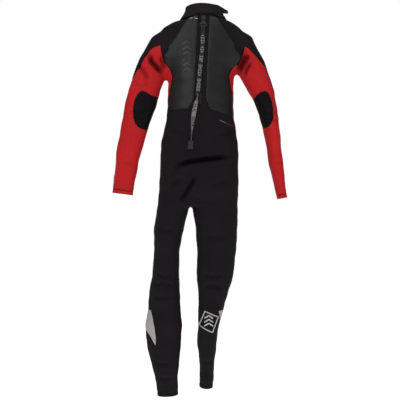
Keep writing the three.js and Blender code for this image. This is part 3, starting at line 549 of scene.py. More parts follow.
def triangles_of(names):
    """Corner points of every triangle of the named solids."""
    corners = []
    for name in names:
        mesh = frame["nodes"][name].data
        mesh.calc_loop_triangles()
        points = np.array([v.co for v in mesh.vertices])
        corners.append(points[np.array([t.vertices[:] for t in mesh.loop_triangles])])
    return np.concatenate(corners)


def crossings(triangles, heights, level):
    """The points where the triangles' edges cross one level."""
    found = []
    for a, b in ((0, 1), (1, 2), (2, 0)):
        above, below = heights[:, a] - level, heights[:, b] - level
        crossing = above * below < 0
        share = (above[crossing] / (above[crossing] - below[crossing]))[:, None]
        found.append(triangles[crossing, a] * (1 - share) + triangles[crossing, b] * share)
    return np.concatenate(found)


def hull_of(points):
    """Vertices and faces of the convex hull of some points."""
    form = bmesh.new()
    corners = [form.verts.new(p) for p in points]
    bmesh.ops.convex_hull(form, input=corners, use_existing_faces=False)
    loose = [v for v in form.verts if not v.link_faces]
    bmesh.ops.delete(form, geom=loose, context="VERTS")
    form.verts.index_update()
    vertices = [v.co.copy() for v in form.verts]
    faces = [[v.index for v in f.verts] for f in form.faces]
    form.free()
    return vertices, faces


class Rough:
    """Gathers the filled slices of the suit."""

    def __init__(self):
        self.vertices = []
        self.faces = []

    def add(self, points):
        if len(points) < 8:
            return
        vertices, faces = hull_of(points)
        base = len(self.vertices)
        self.vertices += vertices
        self.faces += [[base + i for i in face] for face in faces]

    def tube(self, names, start, end, extend_start=False):
        """Fills the named hollow panels, slice by slice, from start to end."""
        start, end = Vector(start), Vector(end)
        way = (end - start).normalized()
        length = (end - start).length
        triangles = triangles_of(names)
        heights = (triangles - np.array(start)) @ np.array(way)
        count = max(1, round(length / SLAB))
        for i in range(count):
            low, high = length * i / count - SLAB_LAP, length * (i + 1) / count + SLAB_LAP
            inside = (heights > low) & (heights < high)
            bottom = crossings(triangles, heights, low)
            top = crossings(triangles, heights, high)
            self.add(np.concatenate([triangles[inside], bottom, top]))
        if extend_start:
            ring = crossings(triangles, heights, SLAB_LAP)
            self.add(np.concatenate([ring, ring - np.array(way) * END_REACH]))


def remeshed(vertices, faces, grid):
    """One even skin of quads over everything that the faces enclose."""
    mesh = bpy.data.meshes.new("rough form")
    mesh.from_pydata(vertices, [], faces)
    rough = add_object("rough form", mesh)
    modifier = rough.modifiers.new("skin", "REMESH")
    modifier.mode = "VOXEL"
    modifier.voxel_size = grid
    bpy.context.view_layer.update()
    skin = rough.evaluated_get(bpy.context.evaluated_depsgraph_get()).data
    points = np.array([v.co for v in skin.vertices])
    quads = np.array([p.vertices[:] for p in skin.polygons if len(p.vertices) == 4])
    bpy.data.objects.remove(rough)
    bpy.data.meshes.remove(mesh)
    return points, quads


def averaged(values, edges, rounds):
    """Smooths values over the edges of a mesh."""
    a, b = edges[:, 0], edges[:, 1]
    count = np.bincount(a, minlength=len(values)) + np.bincount(b, minlength=len(values))
    count = np.maximum(count, 1)[:, None]
    values = values.copy()
    for _ in range(rounds):
        total = np.stack([
            np.bincount(a, values[b, k], len(values)) + np.bincount(b, values[a, k], len(values))
            for k in range(values.shape[1])
        ], axis=1)
        values += 0.5 * (total / count - values)
    return values


def edges_of(faces):
    """Each edge of the faces once, as two point numbers."""
    sides = np.concatenate([faces[:, [k, (k + 1) % faces.shape[1]]] for k in range(faces.shape[1])])
    return np.unique(np.sort(sides, axis=1), axis=0)


def normals_of(points, triangles):
    """The normal at each point, from the triangles around it."""
    a, b, c = (points[triangles[:, k]] for k in range(3))
    across = np.cross(b - a, c - a)
    total = np.stack([
        sum(np.bincount(triangles[:, k], across[:, axis], len(points)) for k in range(3))
        for axis in range(3)
    ], axis=1)
    return total / np.maximum(np.linalg.norm(total, axis=1, keepdims=True), 1e-12)


# ---------------------------------------------------------------- the suit's outer surface

def sided(names, side):
    return [f"{name}_{side}" for name in names]


def all_panels():
    """The panels of the suit, in the order that labels them."""
    panels = list(TORSO_PANELS)
    for side in SIDES:
        panels += sided(ARM_PANELS, side) + sided(LEG_PANELS, side)
    return panels


def joint_named(name):
    return next(joint for joint in frame["joints"] if joint["name"] == name)


def arm_way(side):
    """Direction of the arm at its elbow, towards the wrist."""
    way = Vector(joint_named(f"elbow_{side}")["axis"]).cross(Vector((0, 1, 0)))
    return way if way.z < 0 else -way


def limb_ends(names, way):
    """Where a limb starts and ends along its way."""
    heights = triangles_of(names) @ np.array(way)
    return float(heights.min()), float(heights.max())


@lru_cache(maxsize=None)
def suit_form():
    """Points and triangles of the filled, smoothed and trimmed form."""
    rough = Rough()
    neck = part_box("zip_surround")[1].z
    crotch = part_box("hip_panel_left")[1].z
    rough.tube(TORSO_PANELS, (0, 0, neck), (0, 0, crotch), extend_start=True)
    trims = [(Vector((0, 0, neck)), -DOWN)]
    for side in SIDES:
        arm = sided(ARM_PANELS, side)
        way = arm_way(side)
        low, high = limb_ends(arm, way)
        rough.tube(arm, way * low, way * high)
        hem = triangles_of([f"wrist_hem_{side}"]).reshape(-1, 3)
        rough.add(end_reach(hem, way))
        trims.append(flat_end(hem, way))
        leg = sided(LEG_PANELS, side)
        low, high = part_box(f"hip_panel_{side}")[1].z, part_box(f"ankle_hem_{side}")[0].z
        rough.tube(leg, (0, 0, low), (0, 0, high))
        hem = triangles_of([f"ankle_hem_{side}"]).reshape(-1, 3)
        rough.add(end_reach(hem, DOWN))
        trims.append(flat_end(hem, DOWN))
    points, quads = remeshed(rough.vertices, rough.faces, sizes().grid)
    edges = edges_of(quads)
    soft = averaged(points, edges, SMOOTH_ROUNDS)
    triangles = np.concatenate([quads[:, [0, 1, 2]], quads[:, [0, 2, 3]]])
    normals = normals_of(soft, triangles)
    lost = averaged(((points - soft) * normals).sum(1)[:, None], edges, RESTORE_ROUNDS)
    return trimmed(soft + normals * lost, triangles, trims)


def flat_end(hem, way):
    """A point and the outward normal of the flat open end of a hem."""
    heights = hem @ np.array(way)
    span = heights.max() - heights.min()
    ring = hem[heights > heights.max() - span * 0.5]
    middle = ring.mean(0)
    spread = ring - middle
    normal = Vector(np.linalg.svd(spread, full_matrices=False)[2][2])
    if normal.dot(way) < 0:
        normal = -normal
    return Vector(middle), normal


def end_reach(hem, way):
    """The hem's points, with copies of its end pushed out past the cut."""
    middle, normal = flat_end(hem, way)
    far = np.array([p for p in hem if (Vector(p) - middle).dot(normal) > -0.002])
    return np.concatenate([far, far + np.array(normal) * END_REACH])


def trimmed(points, triangles, trims):
    """Cuts the form off square at the neck, wrists and ankles."""
    mesh = bpy.data.meshes.new("form")
    mesh.from_pydata(points.tolist(), [], triangles.tolist())
    form = bmesh.new()
    form.from_mesh(mesh)
    for middle, normal in trims:
        reach = NECK_TRIM_REACH if normal.z > 0.5 else LIMB_TRIM_REACH
        near = [f for f in form.faces if (f.calc_center_median() - middle).length < reach]
        corners = list({v for f in near for v in f.verts})
        sides = list({e for f in near for e in f.edges})
        bmesh.ops.bisect_plane(form, geom=near + corners + sides, plane_co=middle, plane_no=normal)
        gone = [
            f for f in form.faces
            if (f.calc_center_median() - middle).length < reach
            and (f.calc_center_median() - middle).dot(normal) > 1e-5
        ]
        bmesh.ops.delete(form, geom=gone, context="FACES")
    bmesh.ops.triangulate(form, faces=form.faces)
    form.verts.index_update()
    points = np.array([v.co for v in form.verts])
    triangles = np.array([[v.index for v in f.verts] for f in form.faces])
    form.free()
    bpy.data.meshes.remove(mesh)
    return points, triangles


def distances(points, names):
    """Distance of each point to each named solid, up to the reach of the labels."""
    table = np.full((len(points), len(names)), 1.0)
    for column, name in enumerate(names):
        low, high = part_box(name)
        near = np.all(
            (points > np.array(low) - LABEL_REACH) & (points < np.array(high) + LABEL_REACH), axis=1)
        triangles = triangles_of([name])
        tree = BVHTree.FromPolygons(
            triangles.reshape(-1, 3).tolist(),
            np.arange(len(triangles) * 3).reshape(-1, 3).tolist())
        for index in np.flatnonzero(near):
            table[index, column] = tree.find_nearest(points[index])[3]
    return table


class Cut:
    """Splits the form's triangles along the lines where two panels are equally near."""

    def __init__(self, points, triangles, table):
        self.points = [tuple(p) for p in points]
        self.table = table
        self.labels = table.argmin(1)
        self.triangles = []
        self.owners = []
        self.seams = []
        self.middles = {}
        corner = self.labels[triangles]
        same = (corner[:, 0] == corner[:, 1]) & (corner[:, 1] == corner[:, 2])
        self.triangles += triangles[same].tolist()
        self.owners += corner[same, 0].tolist()
        for triangle in triangles[~same].tolist():
            self.split(triangle)

    def middle(self, a, b):
        """The point on an edge where its two ends' panels are equally near."""
        key = (min(a, b), max(a, b))
        if key not in self.middles:
            a, b = key
            one, two = self.labels[a], self.labels[b]
            near = self.table[a, two] - self.table[a, one]
            far = self.table[b, one] - self.table[b, two]
            share = min(1 - SPLIT_MARGIN, max(SPLIT_MARGIN, near / max(near + far, 1e-9)))
            start, end = self.points[a], self.points[b]
            self.points.append(tuple(s + (e - s) * share for s, e in zip(start, end)))
            self.middles[key] = len(self.points) - 1
        return self.middles[key]

    def add(self, triangle, owner):
        self.triangles.append(triangle)
        self.owners.append(owner)

    def split(self, triangle):
        """Cuts one triangle between the two or three panels at its corners."""
        for turn in range(3):
            a, b, c = triangle[turn:] + triangle[:turn]
            one, two, three = (self.labels[v] for v in (a, b, c))
            if two == three:
                ab, ac = self.middle(a, b), self.middle(a, c)
                self.add([a, ab, ac], one)
                self.add([ab, b, c], two)
                self.add([ab, c, ac], two)
                self.seams.append((ab, ac, one, two))
                return
        a, b, c = triangle
        sides = [self.middle(a, b), self.middle(b, c), self.middle(c, a)]
        corners = [self.points[i] for i in sides]
        self.points.append(tuple(sum(values) / 3 for values in zip(*corners)))
        centre = len(self.points) - 1
        for k, corner in enumerate(triangle):
            owner = self.labels[corner]
            self.add([corner, sides[k], centre], owner)
            self.add([corner, centre, sides[k - 1]], owner)
            other = self.labels[triangle[(k + 1) % 3]]
            self.seams.append((sides[k], centre, owner, other))


def fold_shift(points, normals):
    """How far each point moves along its normal for the folds and the drape, and how much painted shade its crease
    takes.
    """
    shift = np.zeros(len(points))
    painted_crease_shade = np.zeros(len(points))
    share = sizes().fold_share
    flat = points[:, [0, 2]]
    for side, depth, width, line in FOLDS:
        line = np.array(line)
        lengths = np.linalg.norm(np.diff(line, axis=0), axis=1)
        total = lengths.sum()
        nearest = np.full(len(points), 1.0)
        signed = np.zeros(len(points))
        along = np.zeros(len(points))
        done = 0.0
        for start, end, length in zip(line[:-1], line[1:], lengths):
            way = (end - start) / length
            t = np.clip((flat - start) @ way, 0, length)
            offset = flat - start - t[:, None] * way
            gap = np.linalg.norm(offset, axis=1)
            closer = gap < nearest
            nearest[closer] = gap[closer]
            signed[closer] = (gap * np.sign(offset @ np.array([-way[1], way[0]])))[closer]
            along[closer] = (done + t)[closer]
            done += length
        ends = smoothstep(np.minimum(along, total - along) / (0.30 * total))
        past = np.where((along <= 0) | (along >= total), np.exp(-((nearest / width) ** 2)), 1.0)
        facing = {"back": -normals[:, 1], "front": normals[:, 1], "both": np.ones(len(points))}[side]
        weight = ends * past * smoothstep(facing * 2.2) * share
        shape = (
            -np.exp(-((signed / width) ** 2))
            + 0.42 * np.exp(-(((signed - 1.9 * width) / (1.1 * width)) ** 2))
            + 0.22 * np.exp(-(((signed + 2.0 * width) / (1.2 * width)) ** 2))
        )
        shift += weight * depth * shape
        # Painted shade, deepest along the middle of each fold's groove.
        painted_crease_shade += weight * np.exp(-((signed / (1.25 * width)) ** 2)) * depth / FULL_CREASE
    waves = np.array([
        noise.noise((x * 7.0, y * 7.0, z * 12.0)) * 1.3
        + noise.noise((x * 17.0 + 5, y * 17.0, z * 30.0)) * 0.6
        for x, y, z in points
    ])
    return shift + waves * sizes().drape, np.clip(painted_crease_shade, 0, 1)


def is_sewn(names, one, two):
    """Whether a seam shows: where two finishes meet, at a hem and along the zip."""
    if one == two:
        return False
    if len(names) in (one, two):
        return True
    one, two = names[one], names[two]
    return NODE_SLOTS[one] != NODE_SLOTS[two] or "hem" in one + two


@lru_cache(maxsize=None)
def suit_cut():
    """The cut surface: points, normals, triangles, owners, names, seams, distance to a seam, painted shade of the
    creases.
    """
    names = all_panels()
    candidates = names + list(SLOT_NODES)
    points, triangles = suit_form()
    cut = Cut(points, triangles, distances(points, candidates))
    triangles = np.array(cut.triangles)
    owners = np.minimum(np.array(cut.owners), len(names))
    points = np.array(cut.points)
    seams = [
        (a, b, min(one, len(names)), min(two, len(names)))
        for a, b, one, two in cut.seams
    ]
    seams = [seam for seam in seams if is_sewn(names, seam[2], seam[3])]
    normals = normals_of(points, triangles)
    shift, painted_crease_shade = fold_shift(points, normals)
    points = points + normals * shift[:, None]
    tree = KDTree(len(seams) * 4)
    for count, (a, b, _, _) in enumerate(seams):
        for step in range(4):
            tree.insert(points[a] + (points[b] - points[a]) * (step / 4), count * 4 + step)
    tree.balance()
    away = np.array([tree.find(p)[2] for p in points])
    groove = SEAM_GROOVE * np.exp(-((away / SEAM_GROOVE_WIDTH) ** 2))
    points = points - normals_of(points, triangles) * groove[:, None]
    return points, normals_of(points, triangles), triangles, owners, names, seams, away, painted_crease_shade


def bend_of(name):
    """The joint and the zone that a panel bends in, or None where it rides whole."""
    side = name.rsplit("_", 1)[-1]
    piece = name.rsplit("_", 1)[0]
    if piece in ("shoulder_cap", "underarm_gusset", "sleeve_outer", "sleeve_upper"):
        turn = -1 if side == "left" else 1
        start = Vector((SHOULDER_START[0] * turn, 0, SHOULDER_START[2]))
        way = Vector((SHOULDER_DIRECTION[0] * turn, 0, SHOULDER_DIRECTION[2])).normalized()
        return f"shoulder_{side}", start, start + way * SHOULDER_REACH
    if piece in ("elbow_panel", "elbow_patch"):
        middle = Vector(joint_named(f"elbow_{side}")["pos_m"])
        way = arm_way(side) * ELBOW_REACH
        return f"elbow_{side}", middle - way, middle + way
    zones = {"hip_panel": "hip", "knee_panel": "knee", "knee_pad": "knee"}
    if piece in zones:
        low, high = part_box(f"{zones[piece]}_panel_{side}")
        return f"{zones[piece]}_{side}", (low.x, 0, high.z), (low.x, 0, low.z)
    return None


def body_of_node(name):
    bodies = frame["record"]["behaviour"]["bodies"]
    return next(body for body, nodes in bodies.items() if name in nodes)


def hang_on(made, name):
    """Lets a soft piece ride on its panel's body, or, where its panel bends at a joint, only bakes its place into
    its points.
    """
    zone = bend_of(name)
    if zone is None:
        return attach(made, body_of_node(name))
    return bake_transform(made)


def thick_panel(name, points, normals, triangles, away, painted_crease_shade, thickness, material):
    """A closed panel: its outer face, an inner face and a rim between them."""
    used, local = np.unique(triangles, return_inverse=True)
    outer = local.reshape(-1, 3)
    count = len(used)
    sides = np.concatenate([outer[:, [0, 1]], outer[:, [1, 2]], outer[:, [2, 0]]])
    keys = np.sort(sides, axis=1)
    _, first, times = np.unique(keys, axis=0, return_index=True, return_counts=True)
    border = sides[first[times == 1]]
    rim = np.stack([border[:, 1], border[:, 0], border[:, 0] + count, border[:, 1] + count], axis=1)
    faces = outer.tolist() + (outer[:, ::-1] + count).tolist() + rim.tolist()
    both = np.concatenate([points[used], points[used] - normals[used] * thickness])
    made = mesh_object(name, both, faces, [material])
    # The painted shade of the creases goes to the material as a point attribute, next to the distance to a seam.
    measures = {"seam_distance": (away[used], away[used] + 0.01), "painted_crease_shade": (painted_crease_shade[used],) * 2}
    for label, values in measures.items():
        attribute = made.data.attributes.new(label, "FLOAT", "POINT")
        attribute.data.foreach_set("value", np.concatenate(values).astype(np.float32))
    return made


def make_panels():
    """Every panel of the suit, as a piece of its own in its panel's place."""
    points, normals, triangles, owners, names, _, away, painted_crease_shade = suit_cut()
    for index, name in enumerate(names):
        own = triangles[owners == index]
        if not len(own):
            raise RuntimeError(f"no surface was found for {name}")
        slot = NODE_SLOTS[name]
        made = thick_panel(
            f"soft_{name}", points, normals, own, away, painted_crease_shade, sizes().thickness, finish_of(slot))
        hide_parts(name)
        hang_on(made, name)


# ---------------------------------------------------------------- seams

def chains(segments):
    """Joins segments end to end into runs of point numbers."""
    links = {}
    for a, b in segments:
        links.setdefault(a, []).append(b)
        links.setdefault(b, []).append(a)
    runs = []
    starts = [p for p in sorted(links) if len(links[p]) != 2] + sorted(links)
    for start in starts:
        while links.get(start):
            run = [start]
            while links.get(run[-1]):
                here = run[-1]
                there = links[here].pop(0)
                links[there].remove(here)
                run.append(there)
            runs.append(run)
    return runs


def resampled(line, step):
    """Even points along a line, with everything that its rows hold."""
    run = run_of(line)
    spots = np.linspace(0, run[-1], max(2, int(run[-1] / step)) + 1)
    return np.stack([np.interp(spots, run, line[:, k]) for k in range(line.shape[1])], axis=1)


def zigzag(line, normals, half_width):
    """A flatlock stitch: the thread crosses the seam from side to side."""
    across = unit(np.cross(unit(np.gradient(line, axis=0)), normals))
    sign = np.where(np.arange(len(line)) % 2, 1.0, -1.0)[:, None]
    return line + across * sign * half_width


def thread_mesh(lines, radius):
    """Square-section threads along each line, joined at their corners."""
    points, faces = [], []
    for line, normals in lines:
        side = unit(np.cross(unit(np.gradient(line, axis=0)), normals))
        base = len(points)
        for spot, aside, up in zip(line, side, normals):
            for turn_side, turn_up in ((1, 0), (0, 1), (-1, 0), (0, -1)):
                points.append(spot + aside * radius * THREAD_FLATNESS * turn_side + up * radius * turn_up)
        faces += [[base + corner for corner in face] for face in ring_faces(len(line), 4)]
        faces.append([base + 3, base + 2, base + 1, base])
        last = base + (len(line) - 1) * 4
        faces.append([last, last + 1, last + 2, last + 3])
    return np.array(points), faces


def make_threads():
    """Flatlock thread along the seams: one piece for each colour and each part that moves."""
    points, normals, _, _, names, seams, _, _ = suit_cut()
    groups = {}
    for a, b, one, two in seams:
        if len(names) in (one, two):
            continue
        pair = tuple(sorted((one, two)))
        groups.setdefault(pair, []).append((a, b))
    by_zone = {}
    for pair, segments in groups.items():
        owner = min((names[i] for i in pair), key=lambda n: (bend_of(n) is None, n))
        zone = bend_of(owner)
        tone = "red_thread" if all(NODE_SLOTS[names[i]] == "red_jersey" for i in pair) else "thread"
        key = (zone[0] if zone else body_of_node(owner), tone)
        for run in chains(segments):
            line = averaged_line(points[run], 4)
            if len(line) < 5:
                continue
            both = resampled(np.concatenate([line, normals[run]], axis=1), THREAD_PITCH)
            up = unit(both[:, 3:])
            spots = both[:, :3] + up * (THREAD_RADIUS * 0.6)
            by_zone.setdefault(key, (owner, []))[1].append((zigzag(spots, up, THREAD_HALF_WIDTH), up))
    for (zone, tone), (owner, lines) in by_zone.items():
        vertices, faces = thread_mesh(lines, THREAD_RADIUS)
        made = mesh_object(f"seam_{tone}_{zone}", vertices, faces, [finish_of(tone)])
        hang_on(made, owner)


# ---------------------------------------------------------------- prints

PRINT_LIFT = 0.0006  # how far a print stands out of the surface, and how deep it is set in
# The point that the black of the right sleeve runs out to.
TAIL_Y = 0.001
TAIL_WIDTH = 0.072
TAIL_LENGTH = 0.105


@lru_cache(maxsize=None)
def surface_tree():
    """The suit's outer surface, ready to be searched."""
    points, _, triangles, *_ = suit_cut()
    return BVHTree.FromPolygons(points.tolist(), triangles.tolist())


def on_back(x, z, lift):
    """The place on the back of the suit behind (x, z), lifted off it."""
    hit, normal, _, _ = surface_tree().ray_cast(Vector((x, -0.6, z)), Vector((0, 1, 0)))
    if hit is None:
        hit, normal, _, _ = surface_tree().find_nearest(Vector((x, -0.02, z)))
    if normal.dot(hit - Vector((x * 0.98, 0.02, z))) < 0:
        normal = -normal
    return np.array(hit + normal * lift)


def on_right(y, z, lift):
    """The place on the right sleeve beside (y, z), lifted off it."""
    hit, normal, _, _ = surface_tree().ray_cast(Vector((0.6, y, z)), Vector((-1, 0, 0)))
    if hit is None:
        hit, normal, _, _ = surface_tree().find_nearest(Vector((0.3, y, z)))
    if normal.x < 0:
        normal = -normal
    return np.array(hit + normal * lift)


def stroke(start, end, width, step=0.004, end_width=None):
    """Rows of places across one straight stroke, which may narrow to its end."""
    end_width = width if end_width is None else end_width
    start, end = np.array(start), np.array(end)
    length = np.linalg.norm(end - start)
    way = (end - start) / length
    side = np.array([-way[1], way[0]]) / 2
    rows = max(2, int(length / step) + 1)
    columns = max(2, int(width / step) + 1)
    return [
        [
            start + way * length * i / (rows - 1)
            + side * (2 * k / (columns - 1) - 1) * (width + (end_width - width) * i / (rows - 1))
            for k in range(columns)
        ]
        for i in range(rows)
    ]


def printed(name, strokes, material, owner, lift=PRINT_LIFT, place=on_back):
    """Flat strokes that follow the surface and move with the panel that owns them."""
    points, faces = [], []
    for rows in strokes:
        columns = len(rows[0])
        places = [[place(p[0], p[1], lift) for p in row] for row in rows]
        base = len(points)
        count = len(rows) * columns
        for row in places:
            points += row
        for row in rows:
            points += [place(p[0], p[1], -PRINT_LIFT) for p in row]
        for i in range(len(rows) - 1):
            for k in range(columns - 1):
                a = base + i * columns + k
                face = [a, a + 1, a + columns + 1, a + columns]
                faces += [face, [v + count for v in reversed(face)]]
        edge = [base + k for k in range(columns)]
        edge += [base + i * columns + columns - 1 for i in range(1, len(rows))]
        edge += [base + (len(rows) - 1) * columns + k for k in range(columns - 2, -1, -1)]
        edge += [base + i * columns for i in range(len(rows) - 2, 0, -1)]
        for one, two in zip(edge, edge[1:] + edge[:1]):
            faces.append([two, one, one + count, two + count])
    made = mesh_object(name, points, faces, [material])
    face_outward(made)
    hang_on(made, owner)
    return made


def outline_strokes(corners, width):
    """Strokes round a closed outline."""
    return [stroke(a, b, width) for a, b in zip(corners, corners[1:] + corners[:1])]


def make_prints():
    """Plain marks where such a suit carries its print: bars, dashes and a diamond."""
    bars = []
    for i in range(6):
        top = -0.078 - i * 0.0205
        bars.append(stroke((-0.067, top - 0.010), (-0.052, top), 0.0042))
        bars.append(stroke((-0.052, top), (-0.037, top - 0.010), 0.0042))
    printed("back_emboss", bars, finish_of("dark_print"), "back_panel_left", lift=0.0008)

    low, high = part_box("calf_badge")
    cx, _, cz = (low + high) / 2
    corners = [
        (cx - 0.036, cz - 0.014), (cx - 0.014, cz + 0.040),
        (cx + 0.036, cz + 0.018), (cx + 0.014, cz - 0.038),
    ]
    badge = outline_strokes(corners, 0.0034)
    for i in range(3):
        rise = cz - 0.014 + i * 0.014
        badge.append(stroke((cx - 0.016, rise), (cx, rise + 0.011), 0.0045))
        badge.append(stroke((cx, rise + 0.011), (cx + 0.016, rise), 0.0045))
    emblem = printed("calf_emblem", badge, finish_of("badge_print"), "calf_panel_right")
    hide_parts("calf_badge")

    random.seed(7)
    marks = []
    for i in range(10):
        z = -0.518 - i * 0.0092
        x = -0.332 - i * 0.0006
        marks.append(stroke((x, z), (x + 0.003 + 0.005 * random.random(), z), 0.0055))
    printed("forearm_marks", marks, finish_of("badge_print"), "forearm_panel_left")
    marks = [
        stroke((-0.249, -0.136), (-0.245, -0.150), 0.003),
        stroke((-0.251, -0.150), (-0.242, -0.151), 0.003),
    ]
    printed("shoulder_mark", marks, finish_of("badge_print"), "sleeve_outer_left")
    line = [stroke((0.069, -0.3735), (0.090, -0.3825), 0.0022)]
    printed("side_line", line, finish_of("dim_print"), "lower_back_panel")
    line = [stroke((0.0905, -0.3828), (0.120, -0.3935), 0.0024)]
    printed("side_line_red", line, finish_of("red_thread"), "lower_back_panel")
    tacks = [
        stroke((-0.042, 0.0125), (-0.032, 0.0130), 0.0020),
        stroke((-0.025, 0.0130), (-0.013, 0.0085), 0.0020),
    ]
    printed("collar_tacks", tacks, finish_of("pale_thread"), "back_panel_left")
    low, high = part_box("sleeve_outer_right")
    tail = [stroke((TAIL_Y, low.z + 0.002), (TAIL_Y, low.z - TAIL_LENGTH), TAIL_WIDTH, end_width=0.0012)]
    printed(
        "sleeve_tail", tail, finish_of("black_jersey"), "elbow_panel_right", place=on_right)


# ---------------------------------------------------------------- collar

FLARE = 0.024  # how far the foot of the collar runs out onto each shoulder
FLARE_HEIGHT = 0.017
FACING_TOP = 0.024  # the facing inside the neck, above and below the foot of the collar
FACING_FOOT = -0.022


def oval(width, depth, steps):
    """Outline of the collar, seen from above."""
    power = 2.3  # 2 is an ellipse, and more is squarer
    angles = np.linspace(0, 2 * math.pi, steps, endpoint=False)
    reach = (np.abs(np.cos(angles)) ** power + np.abs(np.sin(angles)) ** power) ** (-1 / power)
    return np.stack([np.cos(angles) * reach * width / 2, np.sin(angles) * reach * depth / 2], axis=1)


def make_collar():
    """The collar with the facing inside it, its flap and the patches that close it."""
    low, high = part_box("collar_band")
    middle = (low + high) / 2
    steps = 96
    height = high.z - low.z
    outline = oval(high.x - low.x, high.y - low.y, steps)
    wall = 0.0032
    profile = (
        (0.0, 0.0), (0.0006, height * 0.12), (0.0, height * 0.3), (-0.0006, height * 0.6),
        (-0.0002, height * 0.8), (0.0006, height * 0.90), (0.0004, height * 0.97),
        (-wall * 0.5, height), (-wall - 0.0006, height * 0.97), (-wall - 0.0008, height * 0.9),
        (-wall, height * 0.5), (-wall, 0.0),
    )
    points = []
    lengths = np.linalg.norm(outline, axis=1, keepdims=True)
    for inset, rise in profile:
        ring = outline * (1 + inset / lengths)
        for k, (x, y) in enumerate(ring):
            share = rise / height
            sides = smoothstep((abs(x) / abs(outline[:, 0]).max() - 0.45) / 0.5)
            flare = FLARE * sides * math.exp(-((rise / FLARE_HEIGHT) ** 1.5))
            x += math.copysign(flare, x)
            rise_here = rise - flare * 0.5
            sag = 0.0016 * math.sin(k / steps * math.tau * 3 + 0.6) * share
            points.append((middle.x + x, middle.y + y, low.z + rise_here + sag))
    faces = ring_faces(len(profile), steps, closed=True)
    made = face_outward(
        mesh_object("soft_collar", points, faces, [finish_of("collar_neoprene")], sharp_angle=80))
    rounded(made)
    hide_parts("collar_band")
    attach(made, "suit_torso")
    make_facing(low, middle, outline, wall)
    softened("collar_flap", "collar_neoprene", 0.0011)
    softened("flap_hook_patch", "hook_grey", 0.0011)
    softened("collar_loop_patch", "hook_loop", 0.0011)


def make_facing(low, middle, outline, wall):
    """The facing inside the neck, which closes the collar against the body."""
    lengths = np.linalg.norm(outline, axis=1, keepdims=True)
    profile = (
        (-wall, FACING_TOP), (-wall - 0.0016, FACING_TOP), (-wall - 0.0022, 0.0),
        (-wall - 0.0018, FACING_FOOT), (-wall, FACING_FOOT), (-wall - 0.0004, 0.0),
    )
    points = [
        (middle.x + x, middle.y + y, low.z + rise)
        for inset, rise in profile
        for x, y in outline * (1 + inset / lengths)
    ]
    faces = ring_faces(len(profile), len(outline), closed=True)
    made = face_outward(
        mesh_object("neck_facing", points, faces, [finish_of("collar_neoprene")], sharp_angle=80))
    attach(made, "suit_torso")


def rounded(made):
    """Divides a piece once more, so that its edges turn round."""
    modifier = made.modifiers.new("round", "SUBSURF")
    modifier.levels = 1
    modifier.render_levels = 1
    bpy.context.view_layer.update()
    mesh = bpy.data.meshes.new_from_object(made.evaluated_get(bpy.context.evaluated_depsgraph_get()))
    old = made.data
    made.modifiers.clear()
    made.data = mesh
    bpy.data.meshes.remove(old)


def softened(node, slot, grid):
    """A soft piece made from a plain solid: a fine skin with rounded corners."""
    rounds = 5
    source = frame["nodes"][node].data
    vertices = [v.co.copy() for v in source.vertices]
    points, quads = remeshed(vertices, [p.vertices[:] for p in source.polygons], grid)
    edges = edges_of(quads)
    soft = averaged(points, edges, rounds)
    normals = normals_of(soft, np.concatenate([quads[:, [0, 1, 2]], quads[:, [0, 2, 3]]]))
    lost = averaged(((points - soft) * normals).sum(1)[:, None], edges, rounds)
    made = mesh_object(f"soft_{node}", soft + normals * lost, quads, [finish_of(slot)], sharp_angle=180)
    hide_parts(node)
    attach(made, body_of_node(node))
    return made


# ---------------------------------------------------------------- leash

def strap_spots():
    """Even places along the strap with the distance from its start."""
    line = np.array(LEASH_POINTS)
    run = run_of(line)
    spots = np.linspace(0, run[-1], LEASH_ROWS)
    fine = np.stack([np.interp(spots, run, line[:, k]) for k in range(3)], axis=1)
    return spots, averaged_line(fine, 10)


def make_leash():
    """The printed strap, which turns over on its way down, with its loop and tip."""
    spots, line = strap_spots()
    ways = unit(np.gradient(line, axis=0))
    distance, degrees = zip(*LEASH_TWIST)
    turns = averaged_line(np.radians(np.interp(spots, distance, degrees)), 6)
    columns = np.array([-1, -0.82, -0.5, 0, 0.5, 0.82, 1]) * LEASH_WIDTH / 2
    bulge = np.array([0.35, 0.9, 1, 1, 1, 0.9, 0.35]) * LEASH_THICKNESS / 2
    around = len(columns) * 2
    points, finishes = [], []
    for spot, way, turn in zip(line, ways, turns):
        flat = np.cross(way, (0, -1, 0))
        flat /= np.linalg.norm(flat)
        out = np.cross(flat, way)
        aside = flat * math.cos(turn) + out * math.sin(turn)
        up = out * math.cos(turn) - flat * math.sin(turn)
        points += [spot + aside * c + up * b for c, b in zip(columns, bulge)]
        points += [spot + aside * c - up * b for c, b in zip(columns[::-1], bulge[::-1])]
    random.seed(11)
    for lit in printed_rows(len(line))[:-1]:
        for k in range(around):
            inked = k in lit or around - 2 - k in lit
            if len(columns) - 1 <= k < around - 1:
                finishes.append(0 if inked else 1)
            else:
                finishes.append(2 if inked else 0)
    faces = ring_faces(len(line), around)
    faces.append(list(range(around))[::-1])
    last = (len(line) - 1) * around
    faces.append(list(range(last, last + around)))
    finishes += [0, 0]
    made = mesh_object(
        "leash_strap", points, faces,
        [finish_of("webbing"), finish_of("webbing_reverse"), finish_of("dim_print")], sharp_angle=60)
    for polygon, finish in zip(made.data.polygons, finishes):
        polygon.material_index = finish
    face_outward(made)
    tip = softened("leash_tip", "zip_plastic", 0.0009)
    loop = softened("leash_loop", "webbing", 0.0009)
    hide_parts("leash")
    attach(made, "leash_body")


def printed_rows(count):
    """Which columns of each row of the strap carry print: rows of small open blocks."""
    rows = [()] * count
    whole, rims, core = (1, 2, 3, 4), (1, 4), (2, 3)
    blocks = ((whole, rims, whole), (whole, (1,), (1,)), (whole, whole), (rims, whole, rims), (core, core))
    at = 6
    while at < count - 10:
        for _ in range(random.randint(3, 5)):
            for row in random.choice(blocks):
                if at < count:
                    rows[at] = row
                at += 1
            at += 1
        at += random.randint(3, 6)
    return rows


# ---------------------------------------------------------------- zip

